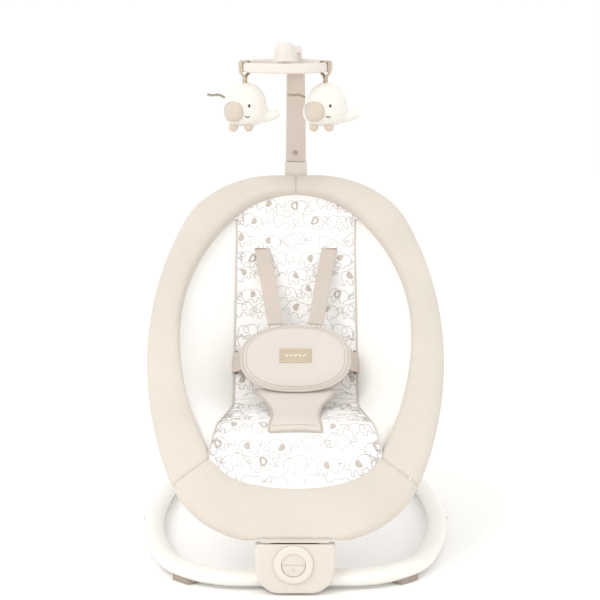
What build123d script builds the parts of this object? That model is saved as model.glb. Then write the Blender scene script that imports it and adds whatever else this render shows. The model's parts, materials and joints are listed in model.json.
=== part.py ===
from build123d import *
from math import atan2, cos, hypot, radians, sin, sqrt
import os

# Electric baby swing. +X is the sitter's left, +Y the rear, +Z up. The origin is on the floor, at the
# middle of the base. All lengths are in millimetres.

# --- Floor loop ---------------------------------------------------------------------------------------
LOOP_TUBE_W, LOOP_TUBE_H, LOOP_WALL = 31.0, 25.0, 1.8
LOOP_Z = 17.5
LOOP_JOINT_Y = 30.0
CLEARANCE = 0.3
# Half ovals: half width, length, side radius, corner radius, end radius.
LOOP_FRONT = (230.0, 298.0, 675.0, 125.0, 6000.0)
LOOP_REAR = (230.0, 259.5, 900.0, 134.0, 6000.0)
SLEEVE_LENGTH = 60.0
SLEEVE_PLAY = 0.2
FOOT_W, FOOT_H, FOOT_LENGTH = 25.0, 9.0, 42.0
FRONT_FOOT_X, FRONT_FOOT_Y = 163.0, -232.0
REAR_FOOT_X, REAR_FOOT_Y = 176.0, 246.0

# --- Control hub --------------------------------------------------------------------------------------
HUB_FRONT_Y, HUB_BACK_Y = -300.0, -208.0
HUB_TOP_Z, HUB_BOTTOM_Z = 79.0, 3.0
HUB_WALL = 2.5
HUB_SPLIT_Z = 36.0
PANEL_DEPTH = 7.0
TUBE_END_X = 44.0
INLET_X, INLET_Z, INLET_R = 30.0, 26.0, 5.5
SPEAKER_X, SPEAKER_Z, SPEAKER_R = -22.0, 22.0, 9.0
HUB_OUTLINE = [
    (57.5, HUB_TOP_Z), (60.0, 50.0), (54.0, 19.0), (34.0, HUB_BOTTOM_Z),
    (-34.0, HUB_BOTTOM_Z), (-54.0, 19.0), (-60.0, 50.0), (-57.5, HUB_TOP_Z),
]
HUB_RADII = [7.0, 150.0, 20.0, 30.0, 30.0, 20.0, 150.0, 7.0]

# --- Sway axis ----------------------------------------------------------------------------------------
SWAY_LEAN = 16.0
SWAY_Y = -250.0
SPINDLE_R = 6.0
RUNNING_PLAY = 0.05
BEARING_R, BEARING_H = 12.0, 6.0
UPPER_BEARING, LOWER_BEARING = -9.0, -48.0
SPINDLE_FOOT = -51.5
BOSS_R = 16.0

# --- Dial and buttons ---------------------------------------------------------------------------------
DIAL_X, DIAL_Z = -2.5, 48.5
DIAL_R, DIAL_BORE_R, DIAL_NECK_R = 29.0, 18.0, 23.0
DIAL_PROUD = 5.0
BUTTON_R, BUTTON_SPLIT = 17.5, 0.5

# --- Seat shell ---------------------------------------------------------------------------------------
SEAT_SLOPE = 39.38
SEAT_ORIGIN = (0.0, -15.0, 312.5)
RIM_OUTER = (234.0, 363.0, 735.0, 161.0, 6000.0)
OPENING_REAR = (184.0, 285.0, 380.0, 110.0, 150.0)
OPENING_FRONT = (184.0, 316.0, 602.0, 78.0, 254.0)
OPENING_CENTRE = 40.0
RIM_HALF_THICK, RIM_ROUND = 15.0, 10.0
SEAT_TUBE_R, SEAT_TUBE_WALL, TUBE_INSET = 11.0, 1.5, 15.4
SEAM_INNER, SEAM_OUTER = (131.0, -226.0), (329.0, -407.5)

# --- Hammock, in the side view (y, z) -----------------------------------------------------------------
HAMMOCK_TOP, HAMMOCK_CREASE = (235.0, 510.0), (-2.0, 213.0)
HAMMOCK_CREST, HAMMOCK_FRONT = (-158.0, 219.0), (-233.0, 138.5)
CREASE_R, CREST_R = 60.0, 45.0
PANEL_HALF_W, PANEL_THICK, WING_THICK = 100.0, 8.0, 3.0
SEAT_PANEL_FRONT_HALF_W = 131.0

# --- Harness ------------------------------------------------------------------------------------------
PAD_CENTRE, PAD_SLOPE = (0.0, -8.0, 300.0), 52.0
PAD_HALF_W, PAD_HALF_H, PAD_THICK = 87.0, 56.0, 18.0
LABEL_W, LABEL_H, LABEL_THICK = 50.0, 22.0, 0.8
BUCKLE_W, BUCKLE_H, BUCKLE_THICK, HARNESS_BUTTON_R = 52.0, 44.0, 13.0, 10.0
WEBBING_W, WAIST_WEBBING_W, WEBBING_THICK = 25.0, 34.0, 2.4

# --- Swing arm, bracket and mast ----------------------------------------------------------------------
ARM_R, ARM_WALL, ARM_BEND_R = 12.5, 2.0, 110.0
MAST_Y, MAST_FOOT_Z, MAST_TOP_Z = 272.0, 571.5, 745.0
MAST_TURN = -9.0
BUTTON_PROUD = 1.5
NECK_W, NECK_THICK, NECK_BEND_R = 22.0, 13.0, 16.0
MAST_FOOT_W, MAST_TOP_W, MAST_DEPTH = 34.0, 30.0, 15.0
SPIGOT_R, SPIGOT_END_Z = 6.5, 533.0
BRACKET_HALF_W, BRACKET_LOW_Z, BRACKET_TOP_Z, BRACKET_BACK_Y = 24.0, 498.0, 544.0, 290.0
BRACKET_FRONT_Y = 254.0
SOCKET_W, SOCKET_D, SOCKET_TOP_Z = 38.0, 25.0, 571.0

# --- Mobile -------------------------------------------------------------------------------------------
RING_CENTRE = (-17.0, 165.0, 740.0)
RING_MEAN_R, RING_W, RING_H = 72.5, 12.0, 16.0
RING_HUB_R, SPOKE_W, SPOKE_H = 13.0, 9.0, 6.0
DOME_FOOT_R, DOME_HEAD_R, DOME_TOP_Z = 20.5, 14.5, 778.0
DOME_ROUND = 11.0
MAST_BUTTON_R, MAST_BUTTON_Z = 3.5, 587.0
PIN_R = 3.0
TOY_ANGLE = 64.0
TOY_DROP = 61.0
TOY_HALF_LENGTH, TOY_HALF_HEIGHT, TOY_ROUND = 40.0, 32.0, 27.0
LOOP_BAND_W, LOOP_BAND_T, LOOP_INNER_R = 10.0, 2.0, 9.6

SEAT = Plane(
    origin=SEAT_ORIGIN,
    x_dir=(1, 0, 0),
    z_dir=(0, -sin(radians(SEAT_SLOPE)), cos(radians(SEAT_SLOPE))),
)
SWAY_Z = HUB_TOP_Z - (SWAY_Y - HUB_FRONT_Y) * sin(radians(SWAY_LEAN)) / cos(radians(SWAY_LEAN))
SWAY = Plane(
    origin=(0, SWAY_Y, SWAY_Z),
    x_dir=(1, 0, 0),
    z_dir=(0, sin(radians(SWAY_LEAN)), cos(radians(SWAY_LEAN))),
)
PAD = Plane(
    origin=PAD_CENTRE,
    x_dir=(1, 0, 0),
    z_dir=(0, -sin(radians(PAD_SLOPE)), cos(radians(PAD_SLOPE))),
)
FRONT_VIEW = Plane(origin=(0, 0, 0), x_dir=(1, 0, 0), z_dir=(0, -1, 0))
MAST_FRAME = Pos(0, MAST_Y, 0) * Rot(0, 0, MAST_TURN)


# --- Ovals --------------------------------------------------------------------------------------------
def quarter_oval(oval, inset, side, end, middle=0.0):
    """Three tangent arcs of one quarter, from the side point to the end point; side and end are +1 or -1."""
    half_width, length, side_r, corner_r, end_r = (value - inset for value in oval)
    side_x, end_y = half_width - side_r, length - end_r
    gap = hypot(side_x, end_y)
    along = ((side_r - corner_r) ** 2 - (end_r - corner_r) ** 2 + gap**2) / (2 * gap)
    across = sqrt((side_r - corner_r) ** 2 - along**2)
    ex, ey = -side_x / gap, end_y / gap
    corner = (side_x + along * ex - across * ey, along * ey + across * ex)
    first = atan2(corner[1], corner[0] - side_x)
    second = atan2(corner[1] - end_y, corner[0])
    quarter_turn = radians(90)
    runs = [
        ((side_x, 0.0), side_r, 0.0, first),
        (corner, corner_r, first, second),
        ((0.0, end_y), end_r, second, quarter_turn),
    ]
    arcs = []
    for centre, radius, start, stop in runs:
        points = [
            (side * (centre[0] + radius * cos(turn)), middle + end * (centre[1] + radius * sin(turn)))
            for turn in (start, (start + stop) / 2, stop)
        ]
        arcs.append(ThreePointArc(*points))
    return arcs


def half_oval(oval, inset, end, middle=0.0):
    """An open wire round one end, from the -X side point to the +X side point."""
    edges = quarter_oval(oval, inset, -1, end, middle) + quarter_oval(oval, inset, 1, end, middle)
    return Wire([edge.edge() for edge in edges])


def oval_face(rear, front, inset, middle=0.0):
    edges = []
    for side in (-1, 1):
        edges += quarter_oval(rear, inset, side, 1, middle)
        edges += quarter_oval(front, inset, side, -1, middle)
    return make_face([edge.edge() for edge in edges])


def oval_half_width(oval, distance):
    """Half width of an oval at a distance from its middle towards its end."""
    reach = quarter_oval(oval, 0.0, 1, 1)
    line = Line((0, distance), (2 * oval[0], distance))
    hits = [point.X for arc in reach for point in (arc.edge().intersect(line.edge()) or [])]
    return max(hits)


def block(plane, low, high):
    """A box in a plane's own axes, from its low corner to its high corner."""
    size = [b - a for a, b in zip(low, high)]
    middle = [(a + b) / 2 for a, b in zip(low, high)]
    return plane * Pos(*middle) * Box(*size)


def rod(start, end, radius):
    """A round bar between two points."""
    way = Vector(*end) - Vector(*start)
    return Plane(origin=start, z_dir=way) * extrude(Circle(radius), amount=way.length)


def disc(plane, low, high, radius):
    """A round slab along a plane's normal, between two levels."""
    return plane * Pos(0, 0, low) * extrude(Circle(radius), amount=high - low)


def ring(plane, low, high, outer_r, inner_r):
    return plane * Pos(0, 0, low) * extrude(Circle(outer_r) - Circle(inner_r), amount=high - low)


def group(solids):
    """Several separate solids as one node."""
    return Compound(children=[part for solid in solids for part in solid.solids()])


# --- Floor loop ---------------------------------------------------------------------------------------
def loop_sweep(oval, end, shrink):
    path = Pos(0, 0, LOOP_Z) * half_oval(oval, 0.0, end, LOOP_JOINT_Y)
    start = Plane(origin=path @ 0, x_dir=(1, 0, 0), z_dir=(0, end, 0))
    section = start * Ellipse(LOOP_TUBE_W / 2 - shrink, LOOP_TUBE_H / 2 - shrink)
    return sweep(section, path=path)


def snap_pins():
    outer = LOOP_FRONT[0] + LOOP_TUBE_W / 2 + 1.0
    inner = LOOP_FRONT[0] + LOOP_TUBE_W / 2 - 6.0
    y = LOOP_JOINT_Y - SLEEVE_LENGTH / 4
    return [rod((side * inner, y, LOOP_Z), (side * outer, y, LOOP_Z), 3.0) for side in (-1, 1)]


def floor_loop():
    pins = snap_pins()
    nodes = {}
    front = loop_sweep(LOOP_FRONT, -1, 0.0) - loop_sweep(LOOP_FRONT, -1, LOOP_WALL)
    rear = loop_sweep(LOOP_REAR, 1, 0.0) - loop_sweep(LOOP_REAR, 1, LOOP_WALL)
    for name, side in (("base_tube_left", -1), ("base_tube_right", 1)):
        window = block(Plane.XY, (TUBE_END_X, -400, 0), (300, LOOP_JOINT_Y, 60))
        window = window if side > 0 else mirror(window, Plane.YZ)
        nodes[name] = (front & window) - pins
    nodes["base_tube_rear"] = rear
    lining = LOOP_WALL + SLEEVE_PLAY
    sleeves = []
    for oval, end in ((LOOP_FRONT, -1), (LOOP_REAR, 1)):
        sleeves.append(loop_sweep(oval, end, lining) - loop_sweep(oval, end, lining + LOOP_WALL))
    window = block(
        Plane.XY,
        (-300, LOOP_JOINT_Y - SLEEVE_LENGTH / 2, 0),
        (300, LOOP_JOINT_Y + SLEEVE_LENGTH / 2, 60),
    )
    joined = (sleeves[0] + sleeves[1]) & window
    nodes["base_sleeves"] = group([joined - pins])
    nodes["base_snap_pins"] = group(pins)
    nodes["rubber_feet"] = group(rubber_feet())
    return nodes


def rubber_feet():
    """Pads that hug the underside of the tube at its four corners."""
    tube = loop_sweep(LOOP_FRONT, -1, 0.0) + loop_sweep(LOOP_REAR, 1, 0.0)
    feet = []
    for oval, end, x, y in (
        (LOOP_FRONT, -1, FRONT_FOOT_X, FRONT_FOOT_Y),
        (LOOP_REAR, 1, REAR_FOOT_X, REAR_FOOT_Y),
    ):
        band = Pos(0, 0, LOOP_Z) * half_oval(oval, 0.0, end, LOOP_JOINT_Y)
        start = Plane(origin=band @ 0, x_dir=(1, 0, 0), z_dir=(0, end, 0))
        middle = -end * (FOOT_H / 2 - LOOP_Z)
        strip = sweep(start * Pos(0, middle) * Rectangle(FOOT_W, FOOT_H), path=band)
        for side in (-1, 1):
            window = Pos(side * x, y, FOOT_H / 2) * Cylinder(FOOT_LENGTH / 2, FOOT_H)
            feet.append((strip & window) - tube)
    return feet


# --- Control hub --------------------------------------------------------------------------------------
def below_top(solid, depth):
    """The part of a solid that lies more than a depth below the sloping top of the hub."""
    return solid & block(SWAY, (-200, -200, -200), (200, 200, -depth))


def hub_solid(inset):
    outline = FRONT_VIEW * FilletPolyline(*HUB_OUTLINE, radius=HUB_RADII, close=True)
    face = make_face(outline)
    if inset:
        face = offset(face, -inset)
    front, back = HUB_FRONT_Y + inset, HUB_BACK_Y - inset
    body = extrude(Pos(0, front, 0) * face, amount=back - front, dir=(0, 1, 0))
    if not inset:
        body = fillet(body.faces().sort_by(Axis.Y)[0].edges(), 4.0)
    return below_top(body, inset)


def hub_screw_posts():
    return [(x, y) for x in (-40.0, 40.0) for y in (-240.0, -220.0)]


def rear_rod(x, z, deep, shallow, radius):
    """A bar square to the hub's rear wall, between two depths inside it."""
    return rod((x, HUB_BACK_Y - deep, z), (x, HUB_BACK_Y - shallow, z), radius)


def control_hub():
    outer = hub_solid(0.0)
    shell = outer - hub_solid(HUB_WALL)
    panel_y = HUB_FRONT_Y + PANEL_DEPTH
    behind = block(Plane.XY, (-100, panel_y, -10), (100, 0, 200))
    low = block(Plane.XY, (-100, -400, -10), (100, 0, HUB_SPLIT_Z))

    bodywork = shell + disc(SWAY, -12, -1, BOSS_R) + (outer & disc(SWAY, -77, -43, BOSS_R))
    for x, y in hub_screw_posts():
        bodywork += outer & (Pos(x, y, 40) * Cylinder(4.5, 80))

    sockets = loop_sweep(LOOP_FRONT, -1, -SLEEVE_PLAY)
    spindle_way = disc(SWAY, -54.5, 1.0, SPINDLE_R + 1.5)
    clip_way = disc(SWAY, -54.5, LOWER_BEARING, 10.5)
    upper_pocket = disc(SWAY, -13.0, UPPER_BEARING + BEARING_H, BEARING_R)
    lower_pocket = disc(SWAY, LOWER_BEARING, -42.0, BEARING_R)
    bodywork = bodywork - sockets - spindle_way - clip_way - upper_pocket - lower_pocket
    screws = []
    for x, y in hub_screw_posts():
        screws.append(rod((x, y, HUB_BOTTOM_Z + 1), (x, y, HUB_SPLIT_Z + 6), 1.5))
        screws.append(rod((x, y, HUB_BOTTOM_Z + 0.5), (x, y, HUB_BOTTOM_Z + 3.5), 3.0))
    pairs = [screws[i] + screws[i + 1] for i in range(0, len(screws), 2)]
    for pair in pairs:
        bodywork = bodywork - pair

    bodywork = bodywork - rear_rod(INLET_X, INLET_Z, 20, -2, INLET_R)
    inlet = rear_rod(INLET_X, INLET_Z, 14, 0.4, INLET_R)
    inlet = inlet - rear_rod(INLET_X, INLET_Z, 11, -2, INLET_R / 2)
    inlet = inlet + rear_rod(INLET_X, INLET_Z, 12, 2, 1.0)
    for x in (-6.0, -2.0, 2.0, 6.0):
        for z in (-4.0, 0.0, 4.0):
            bodywork = bodywork - rear_rod(SPEAKER_X + x, SPEAKER_Z + z, 6, -2, 1.2)
    speaker = rear_rod(SPEAKER_X, SPEAKER_Z, 12, 3, SPEAKER_R)

    dial_way = rod((DIAL_X, -310, DIAL_Z), (DIAL_X, -280, DIAL_Z), DIAL_NECK_R + 0.4)
    front = (bodywork - behind) - dial_way
    rest = bodywork & behind
    return {
        "hub_front_panel": front,
        "hub_lower_shell": rest & low,
        "hub_upper_shell": rest - low,
        "hub_screws": group(pairs),
        "power_inlet": inlet,
        "speaker": speaker,
        "control_board": control_board(),
        "spindle_bearings": group(bearings()),
    } | sway_drive()


def control_board():
    board = Pos(DIAL_X, -283, DIAL_Z) * Box(70, 1.6, 34)
    for z in (-8.0, 8.0):
        board += Pos(DIAL_X, -285.3, DIAL_Z + z) * Box(7, 3, 7)
    return board


def bearings():
    return [
        ring(SWAY, level, level + BEARING_H, BEARING_R, SPINDLE_R + RUNNING_PLAY)
        for level in (UPPER_BEARING, LOWER_BEARING)
    ]


COIL_REACH, COIL_LOW, COIL_HIGH = 33.0, -48.7, -34.0
COIL_R, CORE_R = 10.5, 5.0


def sway_drive():
    """A coil on a bracket, under the magnet that the spindle's lever carries."""
    core = disc(SWAY * Pos(0, COIL_REACH, 0), COIL_LOW - 0.3, COIL_HIGH + 1, CORE_R)
    foot = block(SWAY, (-12, COIL_REACH - 9, COIL_LOW - 3.3), (12, COIL_REACH + 9, COIL_LOW - 0.3))
    coil = ring(SWAY * Pos(0, COIL_REACH, 0), COIL_LOW, COIL_HIGH, COIL_R, CORE_R + RUNNING_PLAY)
    inside = hub_solid(HUB_WALL)
    return {"drive_coil": coil & inside, "coil_bracket": (core + foot) & inside}


def hub_controls():
    face_y = HUB_FRONT_Y
    dial = rod((DIAL_X, face_y - DIAL_PROUD, DIAL_Z), (DIAL_X, face_y - 0.4, DIAL_Z), DIAL_R)
    rim = dial.edges().filter_by(GeomType.CIRCLE).sort_by(Axis.Y)[0]
    dial = fillet(rim, 3.5)
    dial += rod((DIAL_X, face_y - 1, DIAL_Z), (DIAL_X, face_y + 9, DIAL_Z), DIAL_NECK_R)
    dial -= rod((DIAL_X, face_y - 10, DIAL_Z), (DIAL_X, face_y + 12, DIAL_Z), DIAL_BORE_R)
    disc = rod((DIAL_X, face_y - 3, DIAL_Z), (DIAL_X, face_y + 11, DIAL_Z), BUTTON_R)
    split_low = block(Plane.XY, (-60, -320, 0), (60, -250, DIAL_Z - BUTTON_SPLIT / 2))
    split_high = block(Plane.XY, (-60, -320, DIAL_Z + BUTTON_SPLIT / 2), (60, -250, 120))
    return {
        "speed_dial": dial,
        "upper_button": disc & split_high,
        "lower_button": disc & split_low,
    }


# --- Cradle, spindle and swing arm --------------------------------------------------------------------
def seat_loop(radius):
    """The oval frame tube as two half loops, front and rear, as solid bars of one radius."""
    halves = []
    for end in (-1, 1):
        path = SEAT * half_oval(RIM_OUTER, TUBE_INSET, end)
        start = Plane(origin=path @ 0, z_dir=path % 0)
        halves.append(sweep(start * Circle(radius), path=path))
    return halves


def arm_path():
    points = [(0, -226, 78), (0, MAST_Y, 98), (0, MAST_Y, BRACKET_LOW_Z + 22)]
    return FilletPolyline(*points, radius=ARM_BEND_R)


def arm_bar(radius):
    path = arm_path()
    return sweep(Plane(origin=path @ 0, z_dir=path % 0) * Circle(radius), path=path)


def spindle_parts():
    spindle = disc(SWAY, SPINDLE_FOOT, 12.0, SPINDLE_R)
    groove = ring(SWAY, -51.0, -49.5, SPINDLE_R + 1, SPINDLE_R - 1)
    clip = ring(SWAY, -51.0, -49.5, 9.5, SPINDLE_R - 1)
    lever = ring(SWAY, -24, -18, 11, SPINDLE_R)
    lever += block(SWAY, (-7, 9, -24), (7, 40, -18)) - disc(SWAY, -26, -16, 10)
    magnet = block(SWAY, (-12, 27, -30), (12, 39, -24))
    return {
        "pivot_spindle": spindle - groove,
        "spindle_clip": clip,
        "magnet_lever": lever,
        "drive_magnet": magnet,
    }


def cradle_parts(frame_bars, arm):
    saddle = block(SWAY, (-49, -48, 2), (49, -30, 14))
    plate = block(SWAY, (-36, -30, 2), (36, 26, 10))
    socket = block(SWAY, (-20, 6, 10), (20, 44, 34)) + block(SWAY, (-20, 26, 4), (20, 44, 10))
    lowest_edge = saddle.edges().filter_by(Axis.X).sort_by(Axis.Z)[0]
    body = fillet(lowest_edge, 1.5) + plate + socket
    body = body - frame_bars[0] - frame_bars[1] - arm
    body = body - disc(SWAY, 0, 12, SPINDLE_R)
    screws = []
    for x in (-34.0, 34.0):
        place = SWAY * Pos(x, -39.8, 0)
        screws.append(disc(place, 2.5, 4.5, 4) + disc(place, 2.5, 11.5, 2))
    for screw in screws:
        body = body - screw
    return body, screws


def rear_bracket(frame_bars, arm):
    body = block(
        Plane.XY,
        (-BRACKET_HALF_W, BRACKET_FRONT_Y, BRACKET_LOW_Z),
        (BRACKET_HALF_W, BRACKET_BACK_Y, BRACKET_TOP_Z),
    )
    body = fillet(body.edges().filter_by(Axis.Z).sort_by(Axis.Y)[-2:], 8.0)
    tube_z = SEAT.from_local_coords((0, RIM_OUTER[1] - TUBE_INSET, 0)).Z
    screws = []
    for x in (-17.5, 17.5):
        shank = rod((x, 258, tube_z), (x, BRACKET_BACK_Y - 1, tube_z), 2.5)
        screws.append(shank + rod((x, BRACKET_BACK_Y - 3, tube_z), (x, BRACKET_BACK_Y + 1.5, tube_z), 4.5))
    body = body - frame_bars[0] - frame_bars[1] - arm
    for screw in screws:
        body = body - screw
    bore = disc(Pos(0, MAST_Y, 0), SPIGOT_END_Z - 1.0, 600, SPIGOT_R + RUNNING_PLAY)
    body = body - bore
    height = SOCKET_TOP_Z - BRACKET_TOP_Z
    socket = Pos(0, MAST_Y, BRACKET_TOP_Z + height / 2) * Box(SOCKET_W, SOCKET_D, height)
    socket = fillet(socket.edges().filter_by(Axis.Z), 8.0)
    socket = fillet(socket.faces().sort_by(Axis.Z)[-1].edges(), 2.0)
    return body, screws, socket - bore


def seat_frame(nodes):
    solid_bars = seat_loop(SEAT_TUBE_R)
    hollow_bars = seat_loop(SEAT_TUBE_R - SEAT_TUBE_WALL)
    arm_solid = arm_bar(ARM_R)
    cradle, cradle_screws = cradle_parts(solid_bars, arm_solid)
    bracket, bracket_screws, socket = rear_bracket(solid_bars, arm_solid)
    lining = SEAT_TUBE_R - SEAT_TUBE_WALL - SLEEVE_PLAY
    window = block(SEAT, (-300, -30, -40), (300, 30, 40))
    outer_lining, inner_lining = seat_loop(lining), seat_loop(lining - SEAT_TUBE_WALL)
    sleeves = ((outer_lining[0] + outer_lining[1]) - (inner_lining[0] + inner_lining[1])) & window
    rivet_x = RIM_OUTER[0] - TUBE_INSET
    rivets = [
        SEAT * Pos(side * rivet_x, level, 0) * Cylinder(2, 2 * SEAT_TUBE_R + 1.5)
        for side in (-1, 1)
        for level in (-15, 15)
    ]
    front, rear = solid_bars[0] - hollow_bars[0], solid_bars[1] - hollow_bars[1]
    for rivet in rivets:
        front, rear, sleeves = front - rivet, rear - rivet, sleeves - rivet
    for screw in cradle_screws:
        front = front - screw
    for screw in bracket_screws:
        rear = rear - screw
    nodes["seat_frame_front"] = front
    nodes["seat_frame_rear"] = rear
    nodes["frame_sleeves"] = group([sleeves])
    nodes["frame_rivets"] = group(rivets)
    nodes["cradle"] = cradle
    nodes["cradle_screws"] = group(cradle_screws)
    nodes["swing_arm"] = arm_solid - arm_bar(ARM_R - ARM_WALL)
    nodes["rear_bracket"] = bracket
    nodes["bracket_screws"] = group(bracket_screws)
    nodes["mast_socket"] = socket
    spigot_room = disc(Pos(0, MAST_Y, 0), SPIGOT_END_Z - 2, MAST_FOOT_Z, SPIGOT_R + 1)
    held = solid_bars + rivets + bracket_screws + cradle_screws
    return held + [cradle, bracket, socket, arm_solid, spigot_room]


# --- Soft parts ---------------------------------------------------------------------------------------
def rim_pads(held):
    """The padded rim in three pieces, wrapped round the frame tube and cut back over the hub."""
    face = oval_face(RIM_OUTER, RIM_OUTER, 0.0) - oval_face(OPENING_REAR, OPENING_FRONT, 0.0, OPENING_CENTRE)
    body = extrude(Pos(0, 0, -RIM_HALF_THICK) * face, amount=2 * RIM_HALF_THICK)
    body = SEAT * fillet(body.edges(), RIM_ROUND)
    body = body - block(SWAY, (-90, -90, -60), (90, 80, 5.0))
    body = body - block(SWAY, (-51, -90, -60), (51, 80, 9.5))
    for piece in held:
        body = body - piece
    corners = [
        (-SEAM_INNER[0], SEAM_INNER[1]),
        SEAM_INNER,
        SEAM_OUTER,
        (-SEAM_OUTER[0], SEAM_OUTER[1]),
    ]
    front_zone = SEAT * extrude(make_face(Polyline(*corners, close=True)), amount=60, both=True)
    sides = body - front_zone
    right_zone = block(Plane.XY, (0, -500, 0), (400, 500, 700))
    return {
        "rim_pad_front": body & front_zone,
        "rim_pad_left": sides - right_zone,
        "rim_pad_right": sides & right_zone,
    }


def hammock_line():
    points = [(0, y, z) for y, z in (HAMMOCK_TOP, HAMMOCK_CREASE, HAMMOCK_CREST, HAMMOCK_FRONT)]
    return FilletPolyline(*points, radius=[CREASE_R, CREST_R])


def hammock_panels():
    """The seat's centre: one padded strip, split at the crease into a back and a seat."""
    path = hammock_line()
    start = Plane(origin=path @ 0, x_dir=(1, 0, 0), z_dir=path % 0)
    strip = sweep(
        start * Pos(0, -PANEL_THICK / 2) * Rectangle(2 * SEAT_PANEL_FRONT_HALF_W + 8, PANEL_THICK),
        path=path,
    )
    inside_rim = oval_face(OPENING_REAR, OPENING_FRONT, CLEARANCE, OPENING_CENTRE)
    opening = SEAT * extrude(inside_rim, amount=120, both=True)
    strip = strip & opening
    outline = [
        (-PANEL_HALF_W, 330), (-PANEL_HALF_W, -108), (-SEAT_PANEL_FRONT_HALF_W - 6, -245),
        (-SEAT_PANEL_FRONT_HALF_W - 6, -300), (SEAT_PANEL_FRONT_HALF_W + 6, -300),
        (SEAT_PANEL_FRONT_HALF_W + 6, -245), (PANEL_HALF_W, -108), (PANEL_HALF_W, 330),
    ]
    plan = SEAT * extrude(make_face(Polyline(*outline, close=True)), amount=130, both=True)
    strip = strip & plan
    rear_side = block(Plane.XY, (-300, HAMMOCK_CREASE[0], 0), (300, 400, 700))
    return {"back_panel": strip & rear_side, "seat_panel": strip - rear_side}


def hammock_depth(distance):
    """Height of the hammock line above the rim plane at a distance up the slope."""
    level = SEAT.from_local_coords((0, distance, 0))
    ray = Line(level + SEAT.z_dir * 60, level - SEAT.z_dir * 160)
    hit = hammock_line().intersect(ray)
    point = hit[0] if isinstance(hit, (list, ShapeList)) else hit
    return SEAT.to_local_coords(Vector(point.X, point.Y, point.Z)).Z


def wing(side):
    """A side panel of mesh, from the rim's inner edge down to the edge of the centre strip."""
    sections = []
    for distance in (255, 225, 170, 110, 40, -10, -45, -80, -115, -150, -180, -200):
        inner = PANEL_HALF_W + 0.5
        if distance < -108:
            inner += (-108 - distance) * (SEAT_PANEL_FRONT_HALF_W + 6 - PANEL_HALF_W) / 137
        reach = distance - OPENING_CENTRE
        oval = OPENING_REAR if reach > 0 else OPENING_FRONT
        outer = oval_half_width(oval, abs(reach)) - 0.5
        low, high = hammock_depth(distance), -RIM_HALF_THICK + 8.0
        points = [(inner, low), (outer, high), (outer, high - WING_THICK), (inner, low - WING_THICK)]
        corners = [SEAT.from_local_coords((side * x, distance, z)) for x, z in points]
        sections.append(make_face(Polyline(*corners, close=True)))
    return loft(sections, ruled=True)


def strap(start, end, width, across=(1, 0, 0)):
    way = Vector(*end) - Vector(*start)
    flat = Vector(*across)
    flat = (flat - way.normalized() * flat.dot(way.normalized())).normalized()
    plane = Plane(origin=start, x_dir=flat, z_dir=way)
    return plane * extrude(Rectangle(width, WEBBING_THICK), amount=way.length)


def harness():
    nodes = {}
    pad = extrude(Ellipse(PAD_HALF_W, PAD_HALF_H), amount=PAD_THICK / 2, both=True)
    nodes["waist_pad"] = PAD * fillet(pad.edges(), 7.0)
    label = Box(LABEL_W, LABEL_H, LABEL_THICK)
    nodes["waist_label"] = PAD * Pos(0, 7, PAD_THICK / 2 + 0.5) * label
    crotch = Plane(origin=(0, -155, 220), x_dir=(1, 0, 0), z_dir=(0, -0.337, 0.9415))
    right_edge = [(40, 0), (40, 14), (35, 45), (37, 78), (48, 112)]
    outline = [(-40, 0), *right_edge, *[(-x, y) for x, y in reversed(right_edge[1:])]]
    radii = [2, 2, 60, 60, 60, 8, 8, 60, 60, 60]
    shape = make_face(FilletPolyline(*outline, radius=radii, close=True))
    nodes["crotch_pad"] = crotch * extrude(shape, amount=5.0)
    for name, side in (("left", -1), ("right", 1)):
        slot, pad_end = (side * 56, 170.5, 436.5), (side * 33.5, 24, 344.5)
        nodes["shoulder_strap_" + name] = strap(slot, pad_end, WEBBING_W)
        nodes["waist_strap_" + name] = strap(
            (side * 96, 34, 274), (side * 74, 5, 289), WAIST_WEBBING_W, (0, 0.6, 0.8)
        )
    back = -PAD_THICK / 2
    buckle = extrude(RectangleRounded(BUCKLE_W, BUCKLE_H, 10), amount=BUCKLE_THICK)
    buckle = PAD * Pos(0, 0, back - BUCKLE_THICK - 1) * buckle
    hole = PAD * Pos(0, 0, back - 4) * Cylinder(HARNESS_BUTTON_R + CLEARANCE, 8.2)
    button = PAD * Pos(0, 0, back - 3.5) * Cylinder(HARNESS_BUTTON_R, 4)
    nodes["harness_buckle"] = buckle - hole
    nodes["harness_button"] = button
    return nodes


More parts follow.
